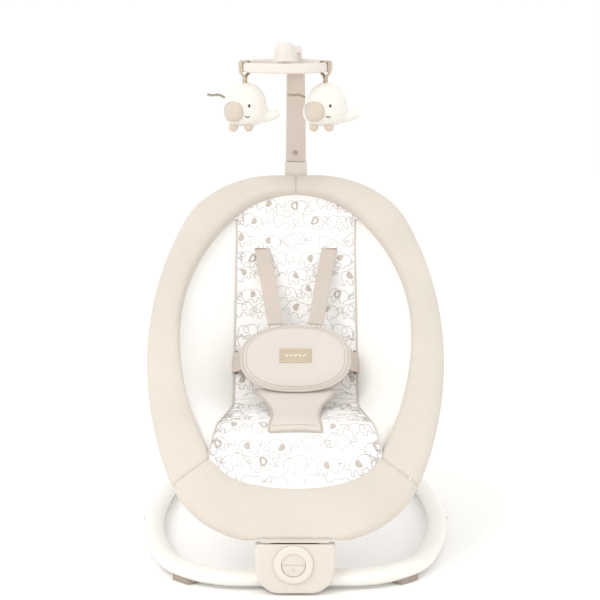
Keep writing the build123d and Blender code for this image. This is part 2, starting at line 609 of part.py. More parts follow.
# --- Mast and mobile ----------------------------------------------------------------------------------
def mast_parts():
    foot = Pos(0, 0, MAST_FOOT_Z) * RectangleRounded(MAST_FOOT_W, MAST_DEPTH, 4)
    top = Pos(0, 0, MAST_TOP_Z) * RectangleRounded(MAST_TOP_W, MAST_DEPTH - 1, 4)
    mast = loft([foot, top])
    mast += Pos(0, 0, (SPIGOT_END_Z + MAST_FOOT_Z) / 2) * Cylinder(SPIGOT_R, MAST_FOOT_Z - SPIGOT_END_Z + 1)
    mast -= rod((0, -20, MAST_BUTTON_Z), (0, -1, MAST_BUTTON_Z), MAST_BUTTON_R + CLEARANCE)
    button_face = -MAST_DEPTH / 2 - BUTTON_PROUD
    button = rod((0, button_face, MAST_BUTTON_Z), (0, -4.5, MAST_BUTTON_Z), MAST_BUTTON_R)

    centre = Vector(*RING_CENTRE)
    dome_foot = centre.Z + RING_H / 2 + 0.5
    reach = hypot(centre.X, MAST_Y - centre.Y)
    bend = (0, 0, MAST_TOP_Z + NECK_BEND_R + 1)
    neck_path = FilletPolyline((0, 0, MAST_TOP_Z), bend, (0, -reach, bend[2] + 2), radius=NECK_BEND_R)
    neck_start = Plane(origin=neck_path @ 0, x_dir=(1, 0, 0), z_dir=neck_path % 0)
    neck = sweep(neck_start * RectangleRounded(NECK_W, NECK_THICK, 4), path=neck_path)
    dome_height = DOME_TOP_Z - dome_foot
    dome = Pos(0, -reach, dome_foot + dome_height / 2) * Cone(DOME_FOOT_R, DOME_HEAD_R, dome_height)
    dome = fillet(dome.edges().filter_by(GeomType.CIRCLE).sort_by(Axis.Z)[-1], DOME_ROUND)
    head = neck + dome
    pin_hole = Pos(0, -reach, dome_foot) * Cylinder(PIN_R + 0.2, 20)
    return {
        "mast": MAST_FRAME * mast,
        "mobile_head": MAST_FRAME * (head - pin_hole),
        "mast_button": MAST_FRAME * button,
    }


def mobile_ring():
    centre = Pos(*RING_CENTRE)
    section = Plane.XZ * Pos(RING_MEAN_R, 0) * RectangleRounded(RING_W, RING_H, 4)
    body = revolve(section, Axis.Z)
    for turn in (30, 150, 270):
        body += Rot(0, 0, turn) * Pos(RING_MEAN_R / 2, 0, 0) * Box(RING_MEAN_R, SPOKE_W, SPOKE_H)
    body += Cylinder(RING_HUB_R, RING_H)
    body -= Cylinder(PIN_R + RUNNING_PLAY, 60)
    pin = Pos(0, 0, 2) * Cylinder(PIN_R, RING_H + 12)
    washer = Pos(0, 0, -RING_H / 2 - 2) * Cylinder(8.0, 2.4)
    return {"mobile_ring": centre * body, "ring_pin": centre * (pin + washer)}


def toy(side):
    """A plush elephant that hangs from the ring on a loop of tape."""
    angle = radians(TOY_ANGLE)
    anchor = Vector(*RING_CENTRE) + Vector(side * RING_MEAN_R * sin(angle), -RING_MEAN_R * cos(angle), 0)
    outward = Vector(side * sin(angle), -cos(angle), 0)
    across = Plane(origin=anchor, x_dir=outward, z_dir=Vector(0, 0, 1).cross(outward))
    outer_r = LOOP_INNER_R + LOOP_BAND_T
    leg = TOY_DROP - TOY_HALF_HEIGHT + 6
    outline = Circle(outer_r) + Pos(0, leg / 2) * Rectangle(2 * outer_r, leg)
    hole = Circle(LOOP_INNER_R) + Pos(0, leg / 2) * Rectangle(2 * LOOP_INNER_R, leg + 2)
    loop = across * extrude(outline - hole, amount=LOOP_BAND_W / 2, both=True)
    centre = Pos(anchor.X, anchor.Y, anchor.Z - TOY_DROP)
    corners = [(-TOY_HALF_LENGTH, 0), (-TOY_HALF_LENGTH, TOY_HALF_HEIGHT)]
    corners += [(-x, y) for x, y in reversed(corners)]
    outline = FilletPolyline(*corners, radius=TOY_ROUND)
    axis_line = Line(corners[-1], corners[0])
    body = centre * revolve(make_face([*outline.edges(), axis_line.edge()]), Axis.X)
    trunk = centre * Pos(40, 0, -12) * Rot(0, 90, 0) * Cone(10, 7, 36)
    feet = [centre * Pos(x, y, -32) * Sphere(6.5) for x in (-20, 8) for y in (-9, 9)]
    plush = body + trunk
    for foot in feet:
        plush += foot
    return plush, loop - plush


def mobile():
    nodes = mobile_ring()
    for name, side in (("left", -1), ("right", 1)):
        plush, loop = toy(side)
        nodes["toy_" + name] = plush
        nodes["toy_loop_" + name] = group([loop])
    return nodes


def main():
    os.makedirs("parts", exist_ok=True)
    nodes = floor_loop() | control_hub() | hub_controls() | spindle_parts()
    held = seat_frame(nodes)
    nodes |= rim_pads(held)
    nodes |= hammock_panels()
    nodes["side_wing_left"] = wing(-1)
    nodes["side_wing_right"] = wing(1)
    nodes |= harness() | mast_parts() | mobile()
    for name, shape in nodes.items():
        export_step(shape, f"parts/{name}.step")
    print(len(nodes), "nodes")


main()
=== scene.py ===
import json
import math
import random

import bpy
import numpy as np
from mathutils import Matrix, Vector
from mathutils.bvhtree import BVHTree


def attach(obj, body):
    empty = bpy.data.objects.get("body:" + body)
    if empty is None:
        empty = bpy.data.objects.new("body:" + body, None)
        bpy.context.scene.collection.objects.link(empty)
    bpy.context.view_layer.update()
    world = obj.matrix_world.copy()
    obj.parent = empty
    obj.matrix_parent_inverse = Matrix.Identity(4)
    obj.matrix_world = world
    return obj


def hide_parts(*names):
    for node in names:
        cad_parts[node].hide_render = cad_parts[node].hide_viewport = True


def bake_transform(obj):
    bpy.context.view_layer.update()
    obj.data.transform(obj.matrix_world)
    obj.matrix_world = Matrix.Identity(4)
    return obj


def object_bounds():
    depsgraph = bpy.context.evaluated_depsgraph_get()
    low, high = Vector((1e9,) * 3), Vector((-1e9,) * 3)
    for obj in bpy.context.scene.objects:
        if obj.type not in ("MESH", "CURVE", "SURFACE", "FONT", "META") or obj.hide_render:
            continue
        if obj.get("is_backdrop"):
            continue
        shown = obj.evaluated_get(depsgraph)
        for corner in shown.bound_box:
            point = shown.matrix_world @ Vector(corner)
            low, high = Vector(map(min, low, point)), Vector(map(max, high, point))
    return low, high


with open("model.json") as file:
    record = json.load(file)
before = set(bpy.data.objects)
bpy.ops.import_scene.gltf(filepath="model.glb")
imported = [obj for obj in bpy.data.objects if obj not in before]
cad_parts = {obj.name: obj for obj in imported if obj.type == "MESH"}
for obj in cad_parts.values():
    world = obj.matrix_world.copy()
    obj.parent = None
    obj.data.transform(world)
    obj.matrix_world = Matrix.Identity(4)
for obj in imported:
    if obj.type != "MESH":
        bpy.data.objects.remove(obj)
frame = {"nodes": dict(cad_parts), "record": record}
cad_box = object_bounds()

# Lengths below are in millimetres, as in the CAD, and MM brings them to Blender's metres.
MM = 0.001

# --- The seat's plane: across, up the slope, and out of it towards the sitter -------------------------
SLOPE = math.radians(39.38)
SEAT_ORIGIN = np.array((0.0, -15.0, 312.5))
UP_SLOPE = np.array((0.0, math.cos(SLOPE), math.sin(SLOPE)))
OUTWARD = np.array((0.0, -math.sin(SLOPE), math.cos(SLOPE)))
ACROSS = np.array((1.0, 0.0, 0.0))

# Half ovals: half width, length, side radius, corner radius, end radius.
RIM_OUTER = (234.0, 363.0, 735.0, 161.0, 6000.0)
OPENING_REAR = (184.0, 285.0, 380.0, 110.0, 150.0)
OPENING_FRONT = (184.0, 316.0, 602.0, 78.0, 254.0)
OPENING_CENTRE = 40.0
BAND_CENTRE = 20.0
RIM_HALF_THICK, RIM_POWER = 16.5, 3.0
SEAM_INNER, SEAM_OUTER = (131.0, -226.0), (329.0, -407.5)

# --- The seat sways about a leaning axis, over the hub's sloping top -----------------------------------
SWAY_ORIGIN = np.array((0.0, -250.0, 64.66))
SWAY_AXIS = np.array((0.0, 0.2756, 0.9613))

# --- Hammock line, in the side view (y, z) --------------------------------------------------------------
HAMMOCK = [(245.0, 522.5), (-2.0, 213.0), (-158.0, 219.0), (-233.0, 138.5)]
CREASE_R, CREST_R = 60.0, 45.0
PANEL_HALF_W, PANEL_FRONT_HALF_W, PANEL_THICK = 100.0, 137.0, 8.0
WIDEN_FROM, WIDEN_TO = -60.0, -245.0
# The margin of cloth under the rim, how deep under the rim's plane it is held, and how far that pulls.
TUCK, HELD_DEPTH, HELD_REACH = 7.0, -6.0, 48.0

# --- Harness ------------------------------------------------------------------------------------------
PAD_CENTRE, PAD_SLOPE = np.array((0.0, -15.0, 291.0)), math.radians(52.0)
PAD_HALF_W, PAD_HALF_H, PAD_THICK = 85.5, 56.0, 22.0
WEBBING_W, WAIST_WEBBING_W, WEBBING_THICK = 25.0, 34.0, 2.4

# --- Mobile -------------------------------------------------------------------------------------------
RING_CENTRE = np.array((-17.0, 165.0, 740.0))
RING_MEAN_R, RING_W, RING_H = 72.5, 12.0, 16.0
TOY_ANGLE = math.radians(64.0)
TOY_DROP = 61.0


# --- Outlines -----------------------------------------------------------------------------------------
def quarter_oval(oval):
    """Points of a quarter oval made of three tangent arcs, from its side to its end."""
    half_width, length, side_r, corner_r, end_r = oval
    side_x, end_y = half_width - side_r, length - end_r
    gap = math.hypot(side_x, end_y)
    along = ((side_r - corner_r) ** 2 - (end_r - corner_r) ** 2 + gap**2) / (2 * gap)
    across = math.sqrt((side_r - corner_r) ** 2 - along**2)
    ex, ey = -side_x / gap, end_y / gap
    corner = (side_x + along * ex - across * ey, along * ey + across * ex)
    first = math.atan2(corner[1], corner[0] - side_x)
    second = math.atan2(corner[1] - end_y, corner[0])
    runs = [
        ((side_x, 0.0), side_r, 0.0, first),
        (corner, corner_r, first, second),
        ((0.0, end_y), end_r, second, math.pi / 2),
    ]
    return [
        (centre[0] + radius * math.cos(turn), centre[1] + radius * math.sin(turn))
        for centre, radius, start, stop in runs
        for turn in np.linspace(start, stop, 60)
    ]


def right_half(rear, front, middle):
    """The right-hand half of an oval as (across, up the slope), from its front end to its rear end."""
    fore = [(x, middle - y) for x, y in reversed(quarter_oval(front))]
    back = [(x, middle + y) for x, y in quarter_oval(rear)]
    return np.array(fore + back)


RIM_EDGE = right_half(RIM_OUTER, RIM_OUTER, 0.0)
OPENING_EDGE = right_half(OPENING_REAR, OPENING_FRONT, OPENING_CENTRE)
TUCKED_EDGE = right_half(
    [value + TUCK for value in OPENING_REAR], [value + TUCK for value in OPENING_FRONT], OPENING_CENTRE
)


def polar_reach(edge, turn):
    """Distance of an edge from the band's centre, in the direction of a turn above +X."""
    turns = np.arctan2(edge[:, 1] - BAND_CENTRE, edge[:, 0])
    return np.interp(turn, turns, np.hypot(edge[:, 0], edge[:, 1] - BAND_CENTRE))


def tucked_half_width(level):
    """Half width of the opening with the margin of cloth that is held under the rim."""
    return np.interp(level, TUCKED_EDGE[:, 1], TUCKED_EDGE[:, 0])


def panel_half_width(level):
    wide = np.interp(level, (WIDEN_TO, WIDEN_FROM), (PANEL_FRONT_HALF_W, PANEL_HALF_W))
    return np.minimum(wide, tucked_half_width(level))


def seat_point(across, level, out):
    """A point of the seat's plane in the row frame, in millimetres."""
    parts = [np.asarray(value, float)[..., None] for value in (across, level, out)]
    return SEAT_ORIGIN + parts[0] * ACROSS + parts[1] * UP_SLOPE + parts[2] * OUTWARD


def unit_loop(count, power):
    """A closed section between -1 and 1: its top from left to right, then its bottom back."""
    a = -np.cos(np.linspace(0, math.pi, count))
    b = np.maximum(1 - np.abs(a) ** power, 0) ** (1 / power)
    return np.concatenate([np.stack([a, b], 1), np.stack([a, -b], 1)[-2:0:-1]])


def round_turns(count):
    return np.linspace(0, 2 * math.pi, count, endpoint=False)


def signed_power(values, power):
    return np.sign(values) * np.abs(values) ** power


def smooth_step(value, low, high):
    share = np.clip((value - low) / (high - low), 0, 1)
    return share * share * (3 - 2 * share)


# --- Meshes -------------------------------------------------------------------------------------------
def make_object(name, vertices, faces, uvs=None):
    """A smooth-shaded mesh object, from points in millimetres."""
    mesh = bpy.data.meshes.new(name)
    mesh.from_pydata([tuple(v) for v in np.asarray(vertices) * MM], [], faces)
    mesh.update()
    if uvs is not None:
        layer = mesh.uv_layers.new(name="cloth")
        for loop in mesh.loops:
            layer.data[loop.index].uv = uvs[loop.vertex_index] * MM
    mesh.polygons.foreach_set("use_smooth", [True] * len(mesh.polygons))
    obj = bpy.data.objects.new(name, mesh)
    bpy.context.scene.collection.objects.link(obj)
    return obj


def loft_data(rows, closed_path=False):
    """Vertices, faces and flat coordinates of closed sections skinned in order, capped at both ends."""
    rows = np.asarray(rows, float)
    stations, count = rows.shape[:2]
    faces = []
    for i in range(stations if closed_path else stations - 1):
        j = (i + 1) % stations
        for k in range(count):
            m = (k + 1) % count
            faces.append((i * count + k, i * count + m, j * count + m, j * count + k))
    if not closed_path:
        faces.append(tuple(range(count))[::-1])
        faces.append(tuple((stations - 1) * count + k for k in range(count)))
    lengthwise = np.zeros((stations, count))
    lengthwise[1:] = np.cumsum(np.linalg.norm(np.diff(rows, axis=0), axis=2).mean(1))[:, None]
    girth = np.zeros((stations, count))
    girth[:, 1:] = np.cumsum(np.linalg.norm(np.diff(rows, axis=1), axis=2).mean(0))[None, :]
    uvs = np.stack([girth, lengthwise], 2).reshape(-1, 2)
    return rows.reshape(-1, 3), faces, uvs


def loft(name, rows, closed_path=False):
    vertices, faces, uvs = loft_data(rows, closed_path)
    return make_object(name, vertices, faces, uvs)


def merge(name, pieces):
    """One object from several (vertices, faces, flat coordinates)."""
    vertices, faces, uvs, base = [], [], [], 0
    for points, polygons, flat in pieces:
        vertices.extend(points)
        uvs.extend(flat)
        faces.extend(tuple(base + index for index in polygon) for polygon in polygons)
        base += len(points)
    return make_object(name, np.array(vertices), faces, np.array(uvs))


def frames_along(points, closed=False):
    """Tangents of a path, from its neighbouring points."""
    if closed:
        ways = np.roll(points, -1, 0) - np.roll(points, 1, 0)
    else:
        ways = np.gradient(points, axis=0)
    return ways / np.linalg.norm(ways, axis=1)[:, None]


def tube_data(points, radius, closed=False, sides=8, up=(0.0, 0.0, 1.0)):
    """A round tube along a path. up only settles where its seam lies."""
    points = np.asarray(points, float)
    ways = frames_along(points, closed)
    side = np.cross(ways, up)
    side /= np.maximum(np.linalg.norm(side, axis=1), 1e-9)[:, None]
    lift = np.cross(side, ways)
    turns = round_turns(sides)
    radii = np.broadcast_to(radius, (len(points),))[:, None, None]
    ring = side[:, None] * np.cos(turns)[None, :, None]
    ring = ring + lift[:, None] * np.sin(turns)[None, :, None]
    return loft_data(points[:, None] + ring * radii, closed)


def band(name, points, across, width, thick):
    """A flat strap along a path, with rounded selvedges. across is its width direction."""
    points = np.asarray(points, float)
    ways = frames_along(points)
    flat = np.broadcast_to(np.asarray(across, float), points.shape)
    flat = flat - ways * (flat * ways).sum(1)[:, None]
    flat = flat / np.linalg.norm(flat, axis=1)[:, None]
    lift = np.cross(ways, flat)
    loop = unit_loop(15, 6)
    rows = points[:, None] + flat[:, None] * loop[None, :, :1] * width / 2
    return loft(name, rows + lift[:, None] * loop[None, :, 1:] * thick / 2)


def smooth_closed(corners, steps=8):
    """A smooth closed line through its corner points (Catmull-Rom)."""
    corners = np.asarray(corners, float)
    t = np.linspace(0, 1, steps, endpoint=False)[:, None]
    runs = []
    for i in range(len(corners)):
        p0, p1, p2, p3 = (corners[(i + k) % len(corners)] for k in (-1, 0, 1, 2))
        runs.append(
            0.5 * (2 * p1 + (p2 - p0) * t + (2 * p0 - 5 * p1 + 4 * p2 - p3) * t**2
                   + (3 * p1 - p0 - 3 * p2 + p3) * t**3)
        )
    return np.concatenate(runs)


# --- Camera, light and floor --------------------------------------------------------------------------
CAMERA_PLACE, CAMERA_PITCH = (0.007, -2.8, 0.925), math.radians(10.97)
CAMERA_LENS, SENSOR_WIDTH, CLIP_END = 108.12, 36.0, 50.0
WORLD_COLOUR, WORLD_STRENGTH = (1, 0.995, 0.985, 1), 1.06
LIGHT_AIM = (0, 0, 0.35)
# Each light: name, place, size and power.
LIGHTS = [
    ("key", (-1.7, -2.2, 2.6), 1.6, 34.0),
    ("fill", (2.4, -1.8, 1.6), 2.2, 8.0),
]
FLOOR_HALF = 60000.0
FLOOR_COLOUR = (0.97, 0.965, 0.96, 1)


def camera():
    data = bpy.data.cameras.new("camera")
    data.lens, data.sensor_width = CAMERA_LENS, SENSOR_WIDTH
    data.clip_end = CLIP_END
    made = bpy.data.objects.new("camera", data)
    made.location = CAMERA_PLACE
    made.rotation_euler = (math.pi / 2 - CAMERA_PITCH, 0, 0)
    bpy.context.scene.collection.objects.link(made)
    bpy.context.scene.camera = made


def studio_light():
    world = bpy.data.worlds.new("studio")
    bpy.context.scene.world = world
    world.use_nodes = True
    background = world.node_tree.nodes["Background"]
    background.inputs["Color"].default_value = WORLD_COLOUR
    background.inputs["Strength"].default_value = WORLD_STRENGTH
    for name, place, size, power in LIGHTS:
        lamp = bpy.data.lights.new(name, "AREA")
        lamp.shape, lamp.size, lamp.energy = "DISK", size, power
        lamp_object = bpy.data.objects.new(name, lamp)
        lamp_object.location = place
        aim = Vector(LIGHT_AIM) - Vector(place)
        lamp_object.rotation_euler = aim.to_track_quat("-Z", "Y").to_euler()
        bpy.context.scene.collection.objects.link(lamp_object)
    bpy.context.scene.view_settings.view_transform = "Standard"


def paper_floor():
    corners = [(x * FLOOR_HALF, y * FLOOR_HALF, 0) for x, y in ((-1, -1), (1, -1), (1, 1), (-1, 1))]
    floor = make_object("floor", np.array(corners, float), [(0, 1, 2, 3)])
    material, _, shader = new_material("floor_paper")
    shader.inputs["Base Color"].default_value = FLOOR_COLOUR
    shader.inputs["Roughness"].default_value = 0.9
    floor.data.materials.append(material)
    floor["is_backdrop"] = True


# --- Materials ----------------------------------------------------------------------------------------
def new_material(name):
    material = bpy.data.materials.new(name)
    material.use_nodes = True
    return material, material.node_tree, material.node_tree.nodes["Principled BSDF"]


def add_node(tree, kind, links=(), **settings):
    """A node with its settings. links is (input, socket) pairs, and a number sets an input directly."""
    made = tree.nodes.new(kind)
    for key, value in settings.items():
        setattr(made, key, value)
    for target, source in links:
        if isinstance(source, bpy.types.NodeSocket):
            tree.links.new(source, made.inputs[target])
        else:
            made.inputs[target].default_value = source
    return made


def shade(colour, factor):
    return tuple(min(1.0, channel * factor) for channel in colour) + (1.0,)


def blend_of(tree, factor, first, second):
    ramp = add_node(tree, "ShaderNodeValToRGB", [("Fac", factor)])
    ramp.color_ramp.elements[0].color = first
    ramp.color_ramp.elements[1].color = second
    ramp.color_ramp.elements[0].position = 0.3
    ramp.color_ramp.elements[1].position = 0.7
    return ramp.outputs["Color"]


def noise(tree, place, scale, detail):
    links = [("Vector", place), ("Scale", scale), ("Detail", detail)]
    return add_node(tree, "ShaderNodeTexNoise", links).outputs["Fac"]


def varied(tree, factor, colour, spread):
    return blend_of(tree, factor, shade(colour, 1 - spread), shade(colour, 1 + spread))


def colour_and_bump(tree, shader, tone, relief, depth, strength=1.0):
    tree.links.new(tone, shader.inputs["Base Color"])
    links = [("Height", relief), ("Distance", depth), ("Strength", strength)]
    bump = add_node(tree, "ShaderNodeBump", links)
    tree.links.new(bump.outputs["Normal"], shader.inputs["Normal"])


def uneven_gloss(tree, shader, source, low, high):
    links = [("Value", source), ("To Min", low), ("To Max", high)]
    gloss = add_node(tree, "ShaderNodeMapRange", links)
    tree.links.new(gloss.outputs["Result"], shader.inputs["Roughness"])


def soft_gloss(shader, rough, sheen, sheen_rough, specular):
    shader.inputs["Roughness"].default_value = rough
    shader.inputs["Sheen Weight"].default_value = sheen
    shader.inputs["Sheen Roughness"].default_value = sheen_rough
    shader.inputs["Specular IOR Level"].default_value = specular


def plastic(name, colour, rough=0.42, grain=0.00006, mottle=0.04, coat=0.0):
    """Moulded plastic or paint: a fine grain, slightly uneven gloss and a faint change of tone."""
    material, tree, shader = new_material(name)
    place = add_node(tree, "ShaderNodeTexCoord").outputs["Object"]
    broad, fine = noise(tree, place, 14.0, 3.0), noise(tree, place, 900.0, 2.0)
    colour_and_bump(tree, shader, varied(tree, broad, colour, mottle), fine, grain, 0.8)
    uneven_gloss(tree, shader, broad, rough - 0.05, rough + 0.08)
    shader.inputs["Coat Weight"].default_value = coat
    shader.inputs["Coat Roughness"].default_value = 0.12
    return material


def metal(name, colour):
    """Bare metal with fine scratches in its gloss."""
    material, tree, shader = new_material(name)
    place = add_node(tree, "ShaderNodeTexCoord").outputs["Object"]
    scratches = noise(tree, place, 260.0, 6.0)
    tone = blend_of(tree, scratches, shade(colour, 0.9), shade(colour, 1.05))
    colour_and_bump(tree, shader, tone, scratches, 0.00003)
    uneven_gloss(tree, shader, scratches, 0.22, 0.42)
    shader.inputs["Metallic"].default_value = 1.0
    return material


# Blender's band texture repeats every pi / 10 units at scale 1.
WAVE_PERIOD = 2 * math.pi / 20


def fabric(name, colour, thread=1.0, depth=0.00012, dark=0.9, rib=1.0):
    """Woven cloth in the piece's flat coordinates. thread is its pitch in mm, rib its length ratio."""
    material, tree, shader = new_material(name)
    flat = add_node(tree, "ShaderNodeTexCoord").outputs["UV"]
    place = add_node(tree, "ShaderNodeTexCoord").outputs["Object"]
    waves = []
    for direction, pitch in (("X", thread), ("Y", thread * rib)):
        scale = WAVE_PERIOD / (pitch * MM)
        links = [("Vector", flat), ("Scale", scale), ("Distortion", 0.5), ("Detail", 1.0)]
        wave = add_node(tree, "ShaderNodeTexWave", links, wave_type="BANDS", bands_direction=direction)
        waves.append(wave.outputs["Fac"])
    weave = add_node(tree, "ShaderNodeMath", [(0, waves[0]), (1, waves[1])], operation="MULTIPLY").outputs[0]
    slub = noise(tree, place, 420.0, 3.0)
    tone = varied(tree, noise(tree, place, 9.0, 4.0), colour, 0.03)
    gaps = blend_of(tree, weave, (dark, dark, dark, 1), (1, 1, 1, 1))
    links = [("Factor", 1.0), (6, tone), (7, gaps)]
    mixed = add_node(tree, "ShaderNodeMix", links, data_type="RGBA", blend_type="MULTIPLY")
    relief = add_node(tree, "ShaderNodeMath", [(0, slub), (1, 0.5), (2, weave)], operation="MULTIPLY_ADD")
    colour_and_bump(tree, shader, mixed.outputs[2], relief.outputs[0], depth)
    soft_gloss(shader, rough=0.9, sheen=0.25, sheen_rough=0.4, specular=0.25)
    return material


def plush(name, colour, pile=700.0, depth=0.0006):
    """Short-pile plush: fine uneven fibres over a soft sheen."""
    material, tree, shader = new_material(name)
    place = add_node(tree, "ShaderNodeTexCoord").outputs["Object"]
    fibres = noise(tree, place, pile, 5.0)
    tufts = add_node(tree, "ShaderNodeTexVoronoi", [("Vector", place), ("Scale", pile * 0.4)])
    links = [(0, tufts.outputs["Distance"]), (1, 0.6), (2, fibres)]
    relief = add_node(tree, "ShaderNodeMath", links, operation="MULTIPLY_ADD")
    colour_and_bump(tree, shader, varied(tree, fibres, colour, 0.03), relief.outputs[0], depth)
    soft_gloss(shader, rough=0.95, sheen=0.6, sheen_rough=0.5, specular=0.15)
    return material


RIM_BEIGE = (0.705, 0.645, 0.575)
PAD_BEIGE = (0.71, 0.645, 0.585)
BINDING = (0.64, 0.555, 0.485)


# Every material: its name, kind, colour and settings.
FINISHES = {
    "frame_paint": (plastic, (0.86, 0.84, 0.79), {"rough": 0.3, "coat": 0.3, "mottle": 0.015}),
    "steel": (metal, (0.62, 0.61, 0.6), {}),
    "rubber": (plastic, (0.36, 0.30, 0.25), {"rough": 0.75, "grain": 0.0001}),
    "hub_plastic": (plastic, (0.70, 0.635, 0.57), {"rough": 0.5, "mottle": 0.02}),
    "trim_plastic": (plastic, (0.70, 0.63, 0.56), {"rough": 0.38, "mottle": 0.02}),
    "dial_plastic": (plastic, (0.74, 0.67, 0.60), {"rough": 0.2, "coat": 0.5, "mottle": 0.02}),
    "button_plastic": (plastic, (0.71, 0.64, 0.575), {"rough": 0.4, "mottle": 0.02}),
    "board": (plastic, (0.05, 0.16, 0.07), {"rough": 0.5, "mottle": 0.1}),
    "copper": (metal, (0.72, 0.38, 0.2), {}),
    "magnet": (metal, (0.4, 0.4, 0.42), {}),
    "black_plastic": (plastic, (0.03, 0.03, 0.03), {"rough": 0.5}),
    "rim_fabric": (fabric, RIM_BEIGE, {"thread": 0.9, "depth": 0.0001, "dark": 0.93}),
    "mesh_fabric": (fabric, (0.96, 0.95, 0.925), {"thread": 2.4, "depth": 0.0003, "dark": 0.93}),
    "print_fabric": (fabric, (0.93, 0.915, 0.90), {"thread": 0.7, "depth": 0.00008, "dark": 0.95}),
    "print_line": (fabric, (0.66, 0.62, 0.59), {"thread": 0.7, "depth": 0.00005, "dark": 0.85}),
    "print_tan": (fabric, (0.63, 0.56, 0.50), {"thread": 0.7, "depth": 0.00008, "dark": 0.88}),
    "webbing": (fabric, (0.69, 0.605, 0.53), {"thread": 1.8, "depth": 0.0003, "dark": 0.88, "rib": 0.5}),
    # Painted shade: the dark brown of the patches laid where the straps come through the cloth.
    "slot_shade": (fabric, (0.42, 0.29, 0.21), {"thread": 1.2, "depth": 0.0002, "dark": 0.7}),
    "pad_fabric": (fabric, PAD_BEIGE, {"thread": 0.8, "depth": 0.0001, "dark": 0.93}),
    "binding": (fabric, BINDING, {"thread": 0.8, "depth": 0.00015, "dark": 0.85}),
    "piping": (fabric, (0.72, 0.645, 0.575), {"thread": 0.8, "depth": 0.00015, "dark": 0.88}),
    "thread": (fabric, (0.50, 0.41, 0.34), {"thread": 0.4, "depth": 0.00008, "dark": 0.8}),
    "label_fabric": (fabric, (0.64, 0.54, 0.39), {"thread": 0.6, "depth": 0.0001, "dark": 0.8}),
    "label_thread": (fabric, (0.90, 0.84, 0.72), {"thread": 0.4, "depth": 0.0001, "dark": 0.85}),
    "buckle_plastic": (plastic, (0.5, 0.42, 0.35), {"rough": 0.4}),
    "buckle_button": (plastic, (0.62, 0.54, 0.46), {"rough": 0.35}),
    "mast_plastic": (plastic, (0.60, 0.525, 0.455), {"rough": 0.45, "mottle": 0.02}),
    "mast_button": (plastic, (0.34, 0.31, 0.28), {"rough": 0.4}),
    "ring_plastic": (plastic, (0.73, 0.675, 0.625), {"rough": 0.35, "coat": 0.2, "mottle": 0.015}),
    "plush": (plush, (0.80, 0.77, 0.715), {}),
    "plush_tan": (plush, (0.62, 0.535, 0.445), {"pile": 900.0, "depth": 0.0004}),
    "loop_ribbon": (fabric, (0.66, 0.54, 0.40), {"thread": 0.9, "depth": 0.0002, "dark": 0.85}),
    "bead": (plastic, (0.03, 0.025, 0.02), {"rough": 0.15, "coat": 0.5}),
    "string": (fabric, (0.60, 0.52, 0.42), {"thread": 0.5, "depth": 0.0002, "dark": 0.7}),
}


def make_materials():
    return {name: kind(name, colour, **settings) for name, (kind, colour, settings) in FINISHES.items()}


def finish_piece(obj, material, body="seat", replaces=()):
    """Gives a piece its material and body, and hides the CAD nodes that it stands for."""
    obj.data.materials.append(MATERIALS[material])
    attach(obj, body)
    if replaces:
        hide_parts(*replaces)
    return obj


# The mobile's head is moulded in the ring's paler plastic, and not in its slot's.
LIGHTER_THAN_SLOT = {"mobile_head": "ring_plastic"}


def repaint_cad():
    """Every carried-over CAD node takes the procedural material of its record slot."""
    for part in frame["record"]["subparts"]:
        materials = frame["nodes"][part["node"]].data.materials
        materials.clear()
        materials.append(MATERIALS[LIGHTER_THAN_SLOT.get(part["node"], part["material_slot"])])


# --- Padded rim ---------------------------------------------------------------------------------------
def seam_turns():
    """Turns above +X at which the lower seam crosses the rim's inner and outer edges."""
    ends = []
    for edge in (OPENING_EDGE, RIM_EDGE):
        (x0, y0), (x1, y1) = SEAM_INNER, SEAM_OUTER
        side = (edge[:, 0] - x0) * (y1 - y0) - (edge[:, 1] - y0) * (x1 - x0)
        near = edge[:, 1] < -100
        crossing = edge[near][np.argmin(np.abs(side[near]))]
        ends.append(math.atan2(crossing[1] - BAND_CENTRE, crossing[0]))
    return ends


# Heights over the hub's sloping top that the rim keeps, over the cradle and beside it, and the distances
# from the middle over which one gives way to the other and to nothing.
OVER_CRADLE, OVER_HUB, NO_LIMIT_DROP = 10.0, 5.5, 60.0
CRADLE_EDGE, HUB_EDGE = (52, 60), (94, 110)


def clear_of_hub(points):
    """Lifts points along the sway axis, so that the rim's underside clears the cradle and the hub."""
    height = (points - SWAY_ORIGIN) @ SWAY_AXIS
    reach = np.abs(points[:, 0])
    low = OVER_CRADLE - (OVER_CRADLE - OVER_HUB) * smooth_step(reach, *CRADLE_EDGE)
    low = np.where(reach < HUB_EDGE[0], low, low - NO_LIMIT_DROP * smooth_step(reach, *HUB_EDGE))
    lift = np.maximum(low - height, 0)
    return points + lift[:, None] * SWAY_AXIS


# The rim's seams: how much thinner and narrower the padding is there, and how far that reaches.
RIM_MEAN_REACH = 270.0
SEAM_PINCH, SEAM_REACH = 0.13, 4.0
SOFT_PINCH, SOFT_REACH = 0.04, 22.0
SEAM_NARROWING, PUCKER_REACH, PUCKER = 0.35, 30.0, 0.7
RIM_TILT, RIPPLE_SHARE = 1.2, 0.8


